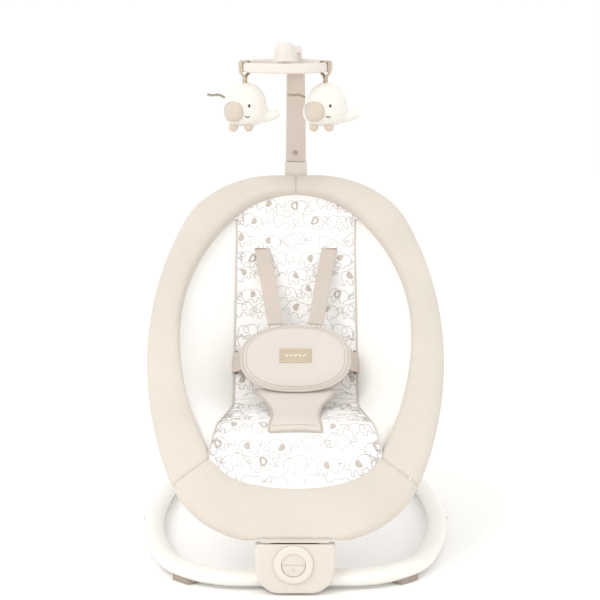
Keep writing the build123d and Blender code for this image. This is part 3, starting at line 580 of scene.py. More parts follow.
def rim_piece(name, start, stop, stations):
    """One piece of the rim. start and stop give turns from the front end as (inner edge, outer edge)."""
    loop = unit_loop(29, RIM_POWER)
    share = np.linspace(0, 1, stations)[:, None]
    spread = (loop[None, :, 0] + 1) / 2
    first = start[0] + (start[1] - start[0]) * spread
    last = stop[0] + (stop[1] - stop[0]) * spread
    turn = first + (last - first) * share
    above = np.abs(turn) - math.pi / 2
    inner, outer = polar_reach(OPENING_EDGE, above), polar_reach(RIM_EDGE, above)
    arc = np.abs(turn - turn[:1]) * RIM_MEAN_REACH
    from_end = np.minimum(arc, np.abs(turn - turn[-1:]) * RIM_MEAN_REACH)
    pinch = 1 - SEAM_PINCH * np.exp(-(from_end / SEAM_REACH) ** 2)
    pinch = pinch - SOFT_PINCH * np.exp(-(from_end / SOFT_REACH) ** 2)
    across = loop[None, :, 0] * (1 - (1 - pinch) * SEAM_NARROWING)
    reach = inner + (outer - inner) * (across + 1) / 2
    ripple = 0.5 * np.sin(turn * 17 + 1.3) + 0.35 * np.sin(turn * 41 + across * 2.0)
    near_seam = np.exp(-(from_end / PUCKER_REACH) ** 2)
    pucker = PUCKER * near_seam * np.sin(across * 15 + turn * 5)
    out = loop[None, :, 1] * RIM_HALF_THICK * pinch - RIM_TILT * across
    out = out + (ripple + pucker) * np.maximum(loop[None, :, 1], 0) * RIPPLE_SHARE
    x = np.sign(turn) * reach * np.cos(above)
    level = BAND_CENTRE + reach * np.sin(above)
    rows = seat_point(x, level, out)
    rows = clear_of_hub(rows.reshape(-1, 3)).reshape(rows.shape)
    return loft(name, rows)


def padded_rim():
    inner, outer = (turn + math.pi / 2 for turn in seam_turns())
    top = (math.pi, math.pi)
    pieces = [
        ("rim_cover_front", (-inner, -outer), (inner, outer), 120, "rim_pad_front"),
        ("rim_cover_right", (inner, outer), top, 190, "rim_pad_right"),
        ("rim_cover_left", (-math.pi, -math.pi), (-inner, -outer), 190, "rim_pad_left"),
    ]
    for name, start, stop, stations, node in pieces:
        cover = rim_piece(name, start, stop, stations)
        finish_piece(cover, "rim_fabric", replaces=(node,))


# --- Hammock ------------------------------------------------------------------------------------------
def hammock_path():
    """Points of the hammock line, rounded at its crease and its crest, with their running length."""
    corners = [np.array(corner) for corner in HAMMOCK]
    points = [corners[0]]
    for before, corner, after, radius in zip(corners, corners[1:], corners[2:], (CREASE_R, CREST_R)):
        into = (corner - before) / np.linalg.norm(corner - before)
        out = (after - corner) / np.linalg.norm(after - corner)
        bend = math.acos(float(np.clip(into @ out, -1, 1)))
        cut = radius * math.tan(bend / 2)
        hand = math.copysign(1, into[0] * out[1] - into[1] * out[0])
        normal = np.array((-into[1], into[0])) * hand
        middle = corner - into * cut + normal * radius
        for angle in np.linspace(0, bend, 24):
            turn = angle * hand
            spoke = np.array((
                -normal[0] * math.cos(turn) + normal[1] * math.sin(turn),
                -normal[0] * math.sin(turn) - normal[1] * math.cos(turn),
            ))
            points.append(middle + spoke * radius)
    points.append(corners[-1])
    points = np.array(points)
    length = np.concatenate([[0], np.cumsum(np.linalg.norm(np.diff(points, axis=0), axis=1))])
    return points, length


PATH, PATH_LENGTH = hammock_path()
FULL_LENGTH = PATH_LENGTH[-1]


def path_at(distance):
    """Place in the side view and the way out of the cloth, at distances down the hammock line."""
    y = np.interp(distance, PATH_LENGTH, PATH[:, 0])
    z = np.interp(distance, PATH_LENGTH, PATH[:, 1])
    step = 3.0
    low, high = np.clip(distance - step, 0, FULL_LENGTH), np.clip(distance + step, 0, FULL_LENGTH)
    dy = np.interp(high, PATH_LENGTH, PATH[:, 0]) - np.interp(low, PATH_LENGTH, PATH[:, 0])
    dz = np.interp(high, PATH_LENGTH, PATH[:, 1]) - np.interp(low, PATH_LENGTH, PATH[:, 1])
    size = np.hypot(dy, dz)
    return y, z, dz / size, -dy / size


def level_at(distance):
    """How far up the seat's slope a point of the hammock line lies."""
    y, z, _, _ = path_at(distance)
    return (y - SEAT_ORIGIN[1]) * UP_SLOPE[1] + (z - SEAT_ORIGIN[2]) * UP_SLOPE[2]


# The seam with the shoulder slots, as a distance down the hammock line, and the padding's relief.
SLOT_SEAM, SEAM_DEPTH, SEAM_SOFTNESS = 112.0, 2.0, 3.5
CROWN, TUFTING = 2.6, 0.35
LEAST_HALF_W = 6.0


def panel_lift(across, distance):
    """Height of the padded cloth above the hammock line: crowned, and sewn down along the slot seam."""
    wide = np.maximum(panel_half_width(level_at(distance)), LEAST_HALF_W)
    share = np.clip(np.abs(across) / wide, 0, 1)
    crown = CROWN * (1 - share**4)
    seam = SEAM_DEPTH * np.exp(-((distance - SLOT_SEAM) / SEAM_SOFTNESS) ** 2)
    tuft = TUFTING * np.sin(across * 0.09 + 0.7) * np.sin(distance * 0.07)
    return crown + tuft * (1 - share**2) - seam


# A panel's ends and edges: share and reach of the thinning, drop at the edge, and least thickness.
END_THINNING, END_REACH, EDGE_ROLL, BACK_GAP = 0.45, 4.0, 1.2, 0.4


def panel_point(across, distance, lift=0.0):
    """A point on the cloth's face in the row frame, in millimetres."""
    y, z, ny, nz = path_at(distance)
    out = panel_lift(across, distance) + lift
    level = level_at(distance)
    depth = (y - SEAT_ORIGIN[1]) * OUTWARD[1] + (z - SEAT_ORIGIN[2]) * OUTWARD[2]
    from_rim = tucked_half_width(level) - np.abs(across)
    pull = np.maximum(HELD_DEPTH - depth, 0) * (1 - smooth_step(from_rim, 0, HELD_REACH))
    point = np.stack([across + 0 * y, y + ny * out, z + nz * out], -1)
    return point + pull[..., None] * OUTWARD


def panel(name, start, stop, stations):
    """A padded stretch of the hammock, thinner at its ends and rolled over at its side edges."""
    rows = []
    for distance in np.linspace(start, stop, stations):
        wide = max(float(panel_half_width(level_at(distance))), LEAST_HALF_W)
        from_end = min(distance - start, stop - distance)
        thick = PANEL_THICK * (1 - END_THINNING * math.exp(-((from_end / END_REACH) ** 2)))
        x = -np.cos(np.linspace(0, math.pi, 41)) * wide
        here = np.full_like(x, distance)
        fullness = 1 - np.abs(x / wide) ** 8
        roll = -EDGE_ROLL * (1 - fullness)
        top = panel_point(x, here, roll)
        bottom = panel_point(x, here, -thick * fullness**0.5 + roll - BACK_GAP)
        rows.append(np.concatenate([top, bottom[-2:0:-1]]))
    return loft(name, rows)


TAPE_R, TAPE_INSET, TAPE_LIFT, TAPE_START, TAPE_STOP_SHORT = 1.1, 1.0, 0.2, 60.0, 55.0


def edge_tape(start, stop, side):
    """The bound seam between a panel and its side wing."""
    distance = np.linspace(start, stop, 120)
    across = side * (panel_half_width(level_at(distance)) - TAPE_INSET)
    return tube_data(panel_point(across, distance, TAPE_LIFT), TAPE_R)


# Where the back and the seat panel meet, and half the gap between them.
CREASE_AT = float(np.interp(2.0, -PATH[:, 0], PATH_LENGTH))
PANEL_GAP = 0.5


def panels():
    back = panel("back_cushion", PANEL_GAP, CREASE_AT - PANEL_GAP, 150)
    finish_piece(back, "print_fabric", replaces=("back_panel",))
    seat = panel("seat_cushion", CREASE_AT + PANEL_GAP, FULL_LENGTH - PANEL_GAP, 110)
    finish_piece(seat, "print_fabric", replaces=("seat_panel",))
    tapes = [edge_tape(TAPE_START, FULL_LENGTH - TAPE_STOP_SHORT, side) for side in (-1, 1)]
    finish_piece(merge("panel_edge_binding", tapes), "piping")


# --- Printed elephants: thin inked shapes laid on the cloth -------------------------------------------
BODY_LINE = [
    (-17, 1), (-15, 9), (-7, 13), (2, 11.5), (8, 13), (14, 10), (17, 4), (19, -3), (22, -8),
    (19, -10), (15.5, -6), (13, -3), (11, -6), (11, -13), (5, -13), (4.5, -8), (-4, -8),
    (-5, -13), (-11, -13), (-12, -7), (-16, -4),
]
TAIL_LINE = [(-17, 2), (-20, 5), (-19, 9), (-23, 11)]
SPRIG_LINE = [(-8, -2), (-4.5, 4), (-1.5, 5), (0.5, 1), (1.5, -4), (4.5, -5), (8, 1), (9, 5)]
EAR_R, EAR_FLAT_AT, EAR_CENTRE = (6.2, 6.4), -2.5, (2.0, 3.0)
PRINT_GAP, PRINT_SCATTER, PRINT_TILT = (47.0, 33.0), 7, 0.55
PRINT_START, CREASE_MARGIN, PRINT_STOP_SHORT = 14.0, 6.0, 12.0
EARED, RINGED = 0.68, 0.3
BODY_INK, FINE_INK, EAR_INK, SPRIG_INK = 0.95, 0.8, 3.4, 1.05
LINE_LIFT, INK_LIFT, PRINT_MARGIN = 0.28, 0.3, 3.0


def placed(points, centre, turn, flip, size):
    """A drawing's points moved to its place, turned, flipped and sized."""
    points = np.asarray(points, float) * size
    x, y = points[:, 0] * flip, points[:, 1]
    return np.stack([
        centre[0] + x * math.cos(turn) - y * math.sin(turn),
        centre[1] - x * math.sin(turn) - y * math.cos(turn),
    ], 1)


def on_cloth(points, margin, start, stop):
    wide = panel_half_width(level_at(points[:, 1]))
    return (np.abs(points[:, 0]) < wide - margin) & (points[:, 1] > start) & (points[:, 1] < stop)


def ink_line(points, width, start, stop):
    """Thin closed ribbons where a line lies on the cloth. points are (across, down the hammock)."""
    inside = on_cloth(points, PRINT_MARGIN, start, stop)
    runs, run = [], []
    for point, ok in zip(points, inside):
        if ok:
            run.append(point)
        elif run:
            runs.append(run)
            run = []
    runs.append(run)
    pieces = []
    for run in (np.array(r) for r in runs if len(r) > 2):
        ways = np.gradient(run, axis=0)
        ways /= np.maximum(np.linalg.norm(ways, axis=1), 1e-6)[:, None]
        side = np.stack([-ways[:, 1], ways[:, 0]], 1) * width / 2
        over, under = (run + side, run - side), (run - side, run + side)
        corners = [(edge, LINE_LIFT) for edge in over] + [(edge, -INK_LIFT) for edge in under]
        rows = np.stack([panel_point(p[:, 0], p[:, 1], lift) for p, lift in corners], 1)
        pieces.append(loft_data(rows))
    return pieces


def ink_patch(outline, start, stop):
    """A filled shape on the cloth, as a thin closed disc."""
    centre = outline.mean(0)
    if not on_cloth(outline, PRINT_MARGIN, start, stop).all():
        return []
    top, low = [], []
    for share in (1.0, 0.5):
        ring = centre + (outline - centre) * share
        top.append(panel_point(ring[:, 0], ring[:, 1], INK_LIFT))
        low.append(panel_point(ring[:, 0], ring[:, 1], -INK_LIFT))
    rows = [top[1], top[0], low[0], low[1]]
    return [loft_data(np.array(rows))]


def ear_outline():
    angles = round_turns(22)
    ear = np.stack([np.cos(angles) * EAR_R[0], np.sin(angles) * EAR_R[1]], 1)
    ear[:, 0] = np.maximum(ear[:, 0], EAR_FLAT_AT)
    return ear + EAR_CENTRE


def elephant_print(name, start, stop, seed):
    """Rows of drawn elephants and sprigs, scattered a little, from start to stop down the hammock."""
    chance = random.Random(seed)
    lines, patches = [], []
    gap_x, gap_y = PRINT_GAP
    for row in range(int((stop - start) / gap_y) + 1):
        for column in range(-3, 4):
            shift = gap_x / 2 if row % 2 else 0.0
            centre = (
                column * gap_x + shift + chance.uniform(-PRINT_SCATTER, PRINT_SCATTER),
                start + (row + 0.5) * gap_y + chance.uniform(-PRINT_SCATTER, PRINT_SCATTER),
            )
            turn, flip = chance.uniform(-PRINT_TILT, PRINT_TILT), chance.choice((-1, 1))
            eared, ringed = chance.random() < EARED, chance.random() < RINGED
            size = chance.uniform(0.92, 1.05)
            body = smooth_closed(placed(BODY_LINE, centre, turn, flip, size), 6)
            body = np.concatenate([body, body[:1]])
            lines += ink_line(body, BODY_INK, start, stop)
            lines += ink_line(placed(TAIL_LINE, centre, turn, flip, size), FINE_INK, start, stop)
            ear = placed(ear_outline(), centre, turn, flip, size)
            ear_line = np.concatenate([ear, ear[:1]])
            if eared and ringed:
                patches += ink_line(ear_line, EAR_INK, start, stop)
            elif eared:
                patches += ink_patch(ear, start, stop)
            else:
                lines += ink_line(ear_line, FINE_INK, start, stop)
            between = (centre[0] + gap_x / 2, centre[1] + chance.uniform(-3, 3))
            sprig = placed(SPRIG_LINE, between, chance.uniform(0, 3), 1, size)
            lines += ink_line(sprig, SPRIG_INK, start, stop)
    finish_piece(merge(name + "_lines", lines), "print_line")
    finish_piece(merge(name + "_ears", patches), "print_tan")


# --- Side wings ---------------------------------------------------------------------------------------
WING_REAR, WING_FRONT = 276, -232
WING_SAG, WING_THICK, WING_UNDER_PANEL = 0.10, 1.6, 1.5


def side_wings():
    """Mesh sheets from the rim's inner edge down to the edge of the centre panel."""
    distance_by_level = np.linspace(0, FULL_LENGTH, 400)
    levels = level_at(distance_by_level)
    order = np.argsort(levels)
    for name, side in (("left", -1), ("right", 1)):
        rows = []
        for level in np.linspace(WING_REAR, WING_FRONT, 120):
            distance = np.interp(level, levels[order], distance_by_level[order])
            outer_x = float(tucked_half_width(level)) - 0.5
            inner_x = min(float(panel_half_width(level)) - WING_UNDER_PANEL, outer_x - 3.0)
            inner = panel_point(np.array(inner_x), distance, -WING_UNDER_PANEL)
            depth = float((inner - SEAT_ORIGIN) @ OUTWARD)
            rim = HELD_DEPTH + 1.0
            share = np.linspace(0, 1, 22)
            across = side * (inner_x + (outer_x - inner_x) * share)
            sag = WING_SAG * abs(rim - depth)
            out = depth + (rim - depth) * share - sag * np.sin(math.pi * share) * (0.6 + 0.4 * share)
            top = seat_point(across, np.full_like(across, level), out)
            low = seat_point(across, np.full_like(across, level), out - WING_THICK)
            rows.append(np.concatenate([top, low[::-1]]))
        wing = loft("wing_" + name, rows)
        finish_piece(wing, "mesh_fabric", replaces=("side_wing_" + name,))


# --- Harness ------------------------------------------------------------------------------------------
PAD_UP = np.array((0.0, math.cos(PAD_SLOPE), math.sin(PAD_SLOPE)))
PAD_OUT = np.array((0.0, -math.sin(PAD_SLOPE), math.cos(PAD_SLOPE)))
PAD_POWER = 2.35
PIPING_R, PAD_BACK_SHARE, PAD_SEAM_AT = 2.3, 0.8, 0.915
LABEL_HALF_W, LABEL_HALF_H, LABEL_Y, LABEL_EDGING_AT = 25.0, 12.3, -0.5, 0.86
# Each leaf: its slant and how far it lies from the label's middle.
LEAVES, LEAF_R = ((0.6, -7.0), (-0.6, 7.0), (0.6, 0.0), (-0.6, -14.0), (0.6, 14.0)), (3.4, 1.5)


def pad_outline(count):
    """The waist pad's outline, a full oval, as flat points."""
    turns = round_turns(count)
    x, y = (signed_power(wave, 2 / PAD_POWER) for wave in (np.cos(turns), np.sin(turns)))
    return np.stack([x * PAD_HALF_W, y * PAD_HALF_H], 1)


def pad_height(share):
    """Half thickness of the pad at a share of the way from its middle to its edge."""
    return PAD_THICK / 2 * (1 - share**3.2) ** 0.55


def pad_point(flat, out):
    flat, out = np.asarray(flat, float), np.asarray(out, float)[..., None]
    return PAD_CENTRE + flat[..., :1] * ACROSS + flat[..., 1:] * PAD_UP + out * PAD_OUT


def pad_share(flat):
    return (np.abs(flat[..., 0] / PAD_HALF_W) ** PAD_POWER
            + np.abs(flat[..., 1] / PAD_HALF_H) ** PAD_POWER) ** (1 / PAD_POWER)


def pad_face(flat, lift=0.0):
    """A point on the front of the waist pad."""
    return pad_point(flat, pad_height(np.minimum(pad_share(flat), 0.995)) + lift)


THREAD_R, THREAD_ARCH = 0.38, np.array((-0.3, 0.15, 0.3, 0.15, -0.3))


def stitches(name, path, lift, face, pitch=4.6, length=2.9, closed=True):
    """Short threads along a line of flat points. face puts a flat point on its cloth."""
    path = np.asarray(path, float)
    if closed:
        path = np.concatenate([path, path[:1]])
    run = np.concatenate([[0], np.cumsum(np.linalg.norm(np.diff(path, axis=0), axis=1))])
    pieces = []
    for start in np.arange(0, run[-1] - length, pitch):
        along = start + length * np.array((0, 0.25, 0.5, 0.75, 1))
        flat = np.stack([np.interp(along, run, path[:, i]) for i in (0, 1)], 1)
        line = face(flat, lift + THREAD_ARCH)
        pieces.append(tube_data(line, THREAD_R, sides=6, up=(0.3, 0.5, 0.8)))
    return merge(name, pieces)


def pad_ring(outline, share, side):
    return pad_point(outline * share, np.full(len(outline), side * pad_height(share)))


def waist_pad():
    outline = pad_outline(120)
    top = [pad_ring(outline, share, 1) for share in np.linspace(0.04, 1, 22)]
    low = [pad_ring(outline, share, -PAD_BACK_SHARE) for share in np.linspace(0.98, 0.04, 14)]
    pad = loft("waist_cushion", np.array(top + low))
    finish_piece(pad, "pad_fabric", replaces=("waist_pad",))
    cord_line = pad_point(outline * 1.005, np.zeros(120))
    piping = merge("waist_piping", [tube_data(cord_line, PIPING_R, closed=True, up=PAD_OUT)])
    finish_piece(piping, "piping")
    seam = stitches("waist_stitches", outline * PAD_SEAM_AT, 0.1, pad_face)
    finish_piece(seam, "thread")


def woven_label():
    """The small label on the waist pad, with a stitched border and a row of plain leaves."""
    loop = unit_loop(17, 8)
    rows = []
    for x in np.linspace(-LABEL_HALF_W, LABEL_HALF_W, 30):
        flat = np.stack([np.full(len(loop), x), LABEL_Y + loop[:, 0] * LABEL_HALF_H], 1)
        rows.append(pad_face(flat, 0.5 + loop[:, 1] * 0.45))
    finish_piece(loft("woven_label", rows), "label_fabric", replaces=("waist_label",))
    corners = np.array([(-1, -1), (1, -1), (1, 1), (-1, 1)])
    border = corners * (LABEL_HALF_W, LABEL_HALF_H) * LABEL_EDGING_AT
    fine = np.concatenate([np.linspace(border[i], border[(i + 1) % 4], 20)[:-1] for i in range(4)])
    fine[:, 1] += LABEL_Y
    edging = stitches("label_edging", fine, 1.0, pad_face, pitch=2.2, length=1.6)
    finish_piece(edging, "label_thread")
    leaves = []
    for slant, x in LEAVES:
        t = round_turns(18)
        leaf = np.stack([LEAF_R[0] * np.cos(t), -LEAF_R[1] * np.sin(t)], 1)
        turned = placed(leaf, (x, LABEL_Y), -slant, 1, 1)
        centre = turned.mean(0)
        rings = [
            pad_face(centre + (turned - centre) * share, lift)
            for share, lift in ((0.2, 1.25), (0.9, 1.2), (1.0, 0.8), (0.2, 0.7))
        ]
        leaves.append(loft_data(np.array(rings)))
    finish_piece(merge("label_leaves", leaves), "label_thread")


# The crotch strap, from its hem (0) to under the waist pad (1): shares along it and half widths there.
CROTCH_SHARES = (0, 0.08, 0.2, 0.35, 0.5, 0.62, 0.72, 0.82, 0.91, 1.0)
CROTCH_HALF_WIDTHS = (40.0, 39.8, 38.2, 36.6, 36.0, 37.2, 40.5, 47.5, 57.0, 66.0)


def crotch_half_width(share):
    return np.interp(share, CROTCH_SHARES, CROTCH_HALF_WIDTHS)


def cloth_height(y):
    """Height of the seat's cloth at places in front of the crease."""
    seat = PATH[PATH_LENGTH >= CREASE_AT]
    return np.interp(-np.asarray(y), -seat[:, 0], seat[:, 1])


# Its route, evenly spaced along it: places towards the rear, and heights over the seat's cloth.
CROTCH_Y = (-168.0, -156.0, -140.0, -122.0, -100.0, -78.0, -56.0, -36.0)
CROTCH_OVER_CLOTH = (4.0, 4.5, 4.5, 5.5, 8.0, 13.0, 21.0, 31.0)
CROTCH_OUT = np.array((0.0, -0.337, 0.9415))
CROTCH_CROWN, CROTCH_EDGE_THICK, CROTCH_FILLING = 3.2, 2.0, 2.4
BINDING_R, HEM_R, HEM_HALF_W, HEM_SEAM_HALF_W, HEM_SEAM_AT = 2.2, 1.8, 39, 35, 0.11


def crotch_point(flat, lift=0.0):
    """A point of the crotch strap's face: flat is (across, share along it)."""
    flat = np.asarray(flat, float)
    t = np.linspace(0, 1, len(CROTCH_Y))
    y = np.interp(flat[..., 1], t, CROTCH_Y)
    z = cloth_height(y) + np.interp(flat[..., 1], t, CROTCH_OVER_CLOTH)
    half = crotch_half_width(flat[..., 1])
    crown = CROTCH_CROWN * (1 - np.clip(np.abs(flat[..., 0] / half), 0, 1) ** 2.5)
    base = np.stack([flat[..., 0], y, z], -1)
    return base + (crown + np.asarray(lift))[..., None] * CROTCH_OUT


def crotch_strap():
    rows = []
    for share in np.linspace(0, 1, 60):
        half = float(crotch_half_width(share))
        x = -np.cos(np.linspace(0, math.pi, 25)) * half
        flat = np.stack([x, np.full_like(x, share)], 1)
        top = crotch_point(flat, np.zeros(25))
        low = crotch_point(flat, -CROTCH_EDGE_THICK - CROTCH_FILLING * (1 - (x / half) ** 4))
        rows.append(np.concatenate([top, low[-2:0:-1]]))
    strap = loft("crotch_cushion", rows)
    finish_piece(strap, "pad_fabric", replaces=("crotch_pad",))
    edges = []
    share = np.linspace(0.0, 1.0, 50)
    for side in (-1, 1):
        flat = np.stack([side * crotch_half_width(share), share], 1)
        edges.append(tube_data(crotch_point(flat, np.full(50, -0.6)), BINDING_R, up=(0, -0.3, 0.95)))
    hem = np.stack([np.linspace(-HEM_HALF_W, HEM_HALF_W, 30), np.zeros(30)], 1)
    edges.append(tube_data(crotch_point(hem, np.full(30, -0.4)), HEM_R, up=(0, -0.3, 0.95)))
    finish_piece(merge("crotch_binding", edges), "binding")
    across = np.linspace(-HEM_SEAM_HALF_W, HEM_SEAM_HALF_W, 40)
    line = np.stack([across, np.full(40, HEM_SEAM_AT)], 1)
    threads = stitches("crotch_stitches", line, 0.1, crotch_point, pitch=4.0, length=2.6, closed=False)
    finish_piece(threads, "thread")


# Straps: kind, its two ends on the right-hand side, how far its middle bows, its width's way and its width.
STRAPS = [
    ("shoulder", (56, 170.5, 435.5), (32.0, 18.0, 339.0), (0, 0, 2.0), ACROSS, WEBBING_W),
    ("waist", (101.0, 40, 271), (74.0, 3.0, 289.0), (0, -4.0, 0), (0, 0.6, 0.8), WAIST_WEBBING_W),
]
# Painted shade at the strap openings, as dark patches: distance from the middle and down the hammock, half
# width and half height.
SLOT_SHADOWS, SLOT_SHADOW_SQUARENESS = ((56.0, SLOT_SEAM, 13.2, 1.2), (95.5, 322.0, 2.8, 21.0)), 0.4


def straps():
    share = np.linspace(0, 1, 40)[:, None]
    for name, side in (("left", -1), ("right", 1)):
        for kind, start, stop, bow, across, width in STRAPS:
            start, stop = np.array(start) * (side, 1, 1), np.array(stop) * (side, 1, 1)
            points = start + (stop - start) * share + np.array(bow) * np.sin(share * math.pi)
            strap = band(f"{kind}_webbing_{name}", points, across, width, WEBBING_THICK)
            finish_piece(strap, "webbing", replaces=(f"{kind}_strap_{name}",))
    # The dark patches at the strap openings are painted shade.
    slots = [slot_shadow_patch(side * across, *rest) for side in (-1, 1) for across, *rest in SLOT_SHADOWS]
    finish_piece(merge("strap_slot_shadows", slots), "slot_shade")


def slot_shadow_patch(across, distance, half_w, half_h):
    """A dark patch of painted shade on the cloth, where a strap comes through its opening."""
    angles = round_turns(24)
    x = signed_power(np.cos(angles), SLOT_SHADOW_SQUARENESS) * half_w
    y = signed_power(np.sin(angles), SLOT_SHADOW_SQUARENESS) * half_h
    rings = [
        panel_point(across + x * share, distance + y * share, lift)
        for share, lift in ((0.3, 0.5), (1.0, 0.5), (1.0, -0.3), (0.3, -0.3))
    ]
    return loft_data(np.array(rings))


# --- Mobile toys --------------------------------------------------------------------------------------
def ball_data(centre, radii, rings=20, segments=28):
    """A ball with three half axes, capped by a small flat at each pole."""
    rows = []
    for share in np.linspace(0.03, 0.97, rings):
        angle = math.pi * share
        turns = round_turns(segments)
        x = np.sin(angle) * np.cos(turns)
        y = np.sin(angle) * np.sin(turns)
        z = np.full(segments, math.cos(angle))
        rows.append(np.stack([x * radii[0], y * radii[1], z * radii[2]], 1) + centre)
    return loft_data(np.array(rows))


# A toy's shapes from its own middle, with X along its body and its trunk at the far end.
TOY_BALLS = [((2, 0, 2), (33, 29, 35)), ((6, 0, -8), (31, 27, 27)), ((-12, 0, -12), (25, 25, 23))]
TRUNK = [(22, 0, -16), (34, -1, -18), (43, -1, -17), (50, -1, -14), (54, -1, -12)]
TRUNK_R = [15, 11.0, 8.5, 8.5, 7.0]
SKIN_VOXEL, SKIN_SMOOTHING = 1.7, (0.6, 14)
# The ear: its centre, radius, and rings as (share of the radius, height over the body).
EAR_X, EAR_Z, EAR_RADIUS = -18.0, -9.0, 16.0
EAR_RINGS = ((0.05, 4.0), (0.5, 4.2), (0.85, 3.4), (1.0, 1.6), (0.9, -0.5), (0.05, -0.8))
EAR_STRETCH, EAR_SQUARENESS = (0.97, 1.02), 0.85
EYE_AT, EYE_R = (7.5, 1.0, 0.3), (1.9, 1.3, 2.8)
SMILE_X, SMILE_MIDDLE, SMILE_LOW, SMILE_CURVE, SMILE_LINE_R = (0.5, 8.0), 4.4, -18.0, 0.17, 0.75
FOOT_X, FOOT_Y, FOOT_Z, FOOT_R = (-19.0, 6.0), (-11.0, 11.0), -36.0, (7.6, 7.0, 6.4)
TAIL_FROM, TAIL_WAY, TAIL_WAVE = (-33, -2.0, 12), (-26, 7), 2.0
TAIL_TURNS, TAIL_WIND_R, STRAND_R, KNOT_R = 22, 1.15, 1.25, (2.8, 2.4, 2.4)
# The ribbon round the ring: clearance beside and over it, its corner, width and thickness, and its two
# legs, sewn together under the ring, as (half gap, height).
RIBBON_CLEAR, RIBBON_CORNER_R, RIBBON_W, RIBBON_THICK = (1.6, 2.2), 3, 12.0, 1.6
RIBBON_FOOT, RIBBON_LEGS, RIBBON_SHOULDER = 34.0, [(1.0, -18.0), (2.2, -14.0)], (0.6, -9.5)
RIBBON_BENDS = (8.0, 26.0)


def plush_body(name, centre):
    """Body, head and trunk blended into one smooth skin."""
    parts = [ball_data(centre + place, radii) for place, radii in TOY_BALLS]
    parts.append(tube_data([centre + place for place in TRUNK], TRUNK_R, sides=16, up=(0, 1, 0)))
    obj = merge(name, parts)
    remesh = obj.modifiers.new("skin", "REMESH")
    remesh.mode, remesh.voxel_size = "VOXEL", SKIN_VOXEL * MM
    relax = obj.modifiers.new("relax", "SMOOTH")
    relax.factor, relax.iterations = SKIN_SMOOTHING
    apply_modifiers(obj)
    return obj


def apply_modifiers(obj):
    """Leaves the object with the mesh that its modifiers make."""
    bpy.context.view_layer.update()
    mesh = bpy.data.meshes.new_from_object(obj.evaluated_get(bpy.context.evaluated_depsgraph_get()))
    old = obj.data
    obj.modifiers.clear()
    obj.data = mesh
    bpy.data.meshes.remove(old)
    mesh.polygons.foreach_set("use_smooth", [True] * len(mesh.polygons))


def toy_ear(name, on_face):
    rings = []
    for share, out in EAR_RINGS:
        ring = []
        for turn in round_turns(26):
            x = EAR_RADIUS * share * signed_power(math.cos(turn), EAR_SQUARENESS)
            z = EAR_RADIUS * EAR_STRETCH[1] * share * signed_power(math.sin(turn), EAR_SQUARENESS)
            ring.append(on_face(EAR_X + x * EAR_STRETCH[0], EAR_Z + z, out))
        rings.append(ring)
    ear = merge("ear_" + name, [loft_data(np.array(rings))])
    finish_piece(ear, "plush_tan", "toy_" + name)


def toy_face(name, on_face):
    eye = merge("eye_" + name, [ball_data(on_face(*EYE_AT), EYE_R, 10, 14)])
    finish_piece(eye, "bead", "toy_" + name)
    smile = [
        on_face(x, SMILE_LOW + SMILE_CURVE * (x - SMILE_MIDDLE) ** 2, 0.25)
        for x in np.linspace(*SMILE_X, 12)
    ]
    line = merge("smile_" + name, [tube_data(smile, SMILE_LINE_R, sides=6)])
    finish_piece(line, "bead", "toy_" + name)


def toy_tail(name, centre):
    """Two strands wound round each other, with a knot at the end."""
    t = np.linspace(0, 1, 60)
    x = TAIL_FROM[0] + TAIL_WAY[0] * t
    z = TAIL_FROM[2] + TAIL_WAY[1] * t + TAIL_WAVE * np.sin(t * 5)
    line = centre + np.stack([x, 0 * t + TAIL_FROM[1], z], 1)
    strands = []
    for phase in (0.0, math.pi):
        turns = t * TAIL_TURNS + phase
        wind = np.stack([0 * t, np.cos(turns), np.sin(turns)], 1) * TAIL_WIND_R
        strands.append(tube_data(line + wind, STRAND_R))
    strands.append(ball_data(line[-1], KNOT_R, 10, 12))
    finish_piece(merge("tail_" + name, strands), "string", "toy_" + name)


def toy_ribbon(name, anchor, outward):
    """The ribbon that hangs a toy on the ring."""
    half_w, half_h = RING_W / 2 + RIBBON_CLEAR[0], RING_H / 2 + RIBBON_CLEAR[1]
    right = [(RIBBON_LEGS[0][0], RIBBON_FOOT - TOY_DROP), *RIBBON_LEGS]
    right.append((half_w - RIBBON_SHOULDER[0], RIBBON_SHOULDER[1]))
    inner_w, inner_h = half_w - RIBBON_CORNER_R, half_h - RIBBON_CORNER_R
    for turn in np.linspace(0, math.pi / 2, 7):
        right.append((inner_w + RIBBON_CORNER_R * math.cos(turn), inner_h + RIBBON_CORNER_R * math.sin(turn)))
    route = right + [(-reach, height) for reach, height in reversed(right)]
    points = [anchor + outward * reach + (0, 0, height) for reach, height in route]
    ribbon = band("hanger_" + name, points, np.cross((0, 0, 1), outward), RIBBON_W, RIBBON_THICK)
    ribbon.data.materials.append(MATERIALS["loop_ribbon"])
    start, end = ((anchor - (0, 0, drop)) * MM for drop in RIBBON_BENDS)
    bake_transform(ribbon)
    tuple(start)
    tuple(end)
    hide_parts("toy_loop_" + name)


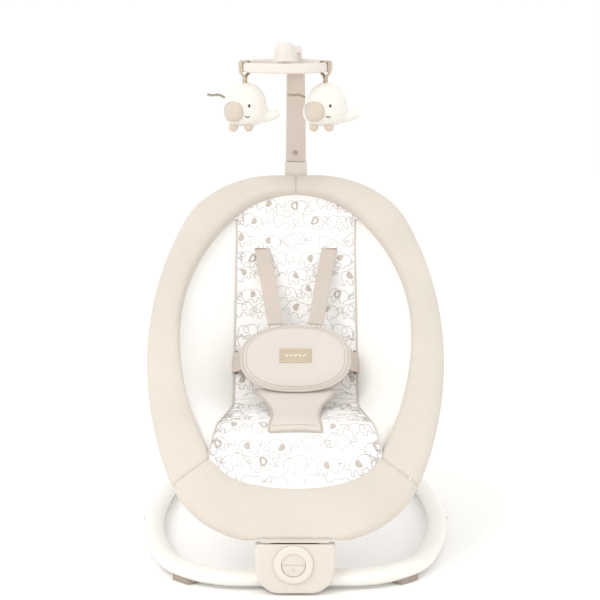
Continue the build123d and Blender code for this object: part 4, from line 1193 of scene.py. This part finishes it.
def toy(name, side):
    outward = np.array((side * math.sin(TOY_ANGLE), -math.cos(TOY_ANGLE), 0.0))
    anchor = RING_CENTRE + RING_MEAN_R * outward
    centre = anchor - (0, 0, TOY_DROP)
    skin = plush_body("elephant_" + name, centre)
    finish_piece(skin, "plush", "toy_" + name, replaces=("toy_" + name,))
    tree = BVHTree.FromObject(skin, bpy.context.evaluated_depsgraph_get())

    def on_face(x, z, out=0.0):
        """A point in front of the toy, on its skin or out of it towards the viewer."""
        start = Vector(((centre[0] + x) * MM, (centre[1] - 80) * MM, (centre[2] + z) * MM))
        hit = tree.ray_cast(start, Vector((0, 1, 0)))
        y = hit[0].y / MM if hit[0] else centre[1]
        return np.array((centre[0] + x, y - out, centre[2] + z))

    toy_ear(name, on_face)
    toy_face(name, on_face)
    feet = [ball_data(centre + (x, y, FOOT_Z), FOOT_R, 14, 18) for x in FOOT_X for y in FOOT_Y]
    finish_piece(merge("feet_" + name, feet), "plush_tan", "toy_" + name)
    toy_tail(name, centre)
    toy_ribbon(name, anchor, outward)


# --- Small printed mark on the lower button ------------------------------------------------------------
MARK_CENTRE, MARK_R, MARK_LINE_R = np.array((-2.5, -303.0, 40.0)), 2.6, 0.35


def button_mark():
    turns = round_turns(40)
    ring = MARK_CENTRE + np.stack([MARK_R * np.cos(turns), 0 * turns, MARK_R * np.sin(turns)], 1)
    mark = merge("button_mark", [tube_data(ring, MARK_LINE_R, closed=True, up=(0, 1, 0))])
    finish_piece(mark, "mast_plastic", "lower_button")


MATERIALS = make_materials()
camera()
studio_light()
paper_floor()
repaint_cad()
padded_rim()
panels()
elephant_print("back_print", PRINT_START, CREASE_AT - CREASE_MARGIN, seed=4)
elephant_print("seat_print", CREASE_AT + CREASE_MARGIN, FULL_LENGTH - PRINT_STOP_SHORT, seed=9)
side_wings()
straps()
waist_pad()
woven_label()
crotch_strap()
toy("left", -1)
toy("right", 1)
button_mark()

bpy.context.view_layer.update()
boxes = {"cad": cad_box, "visual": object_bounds()}
{key: [list(map(float, corner)) for corner in box] for key, box in boxes.items()}
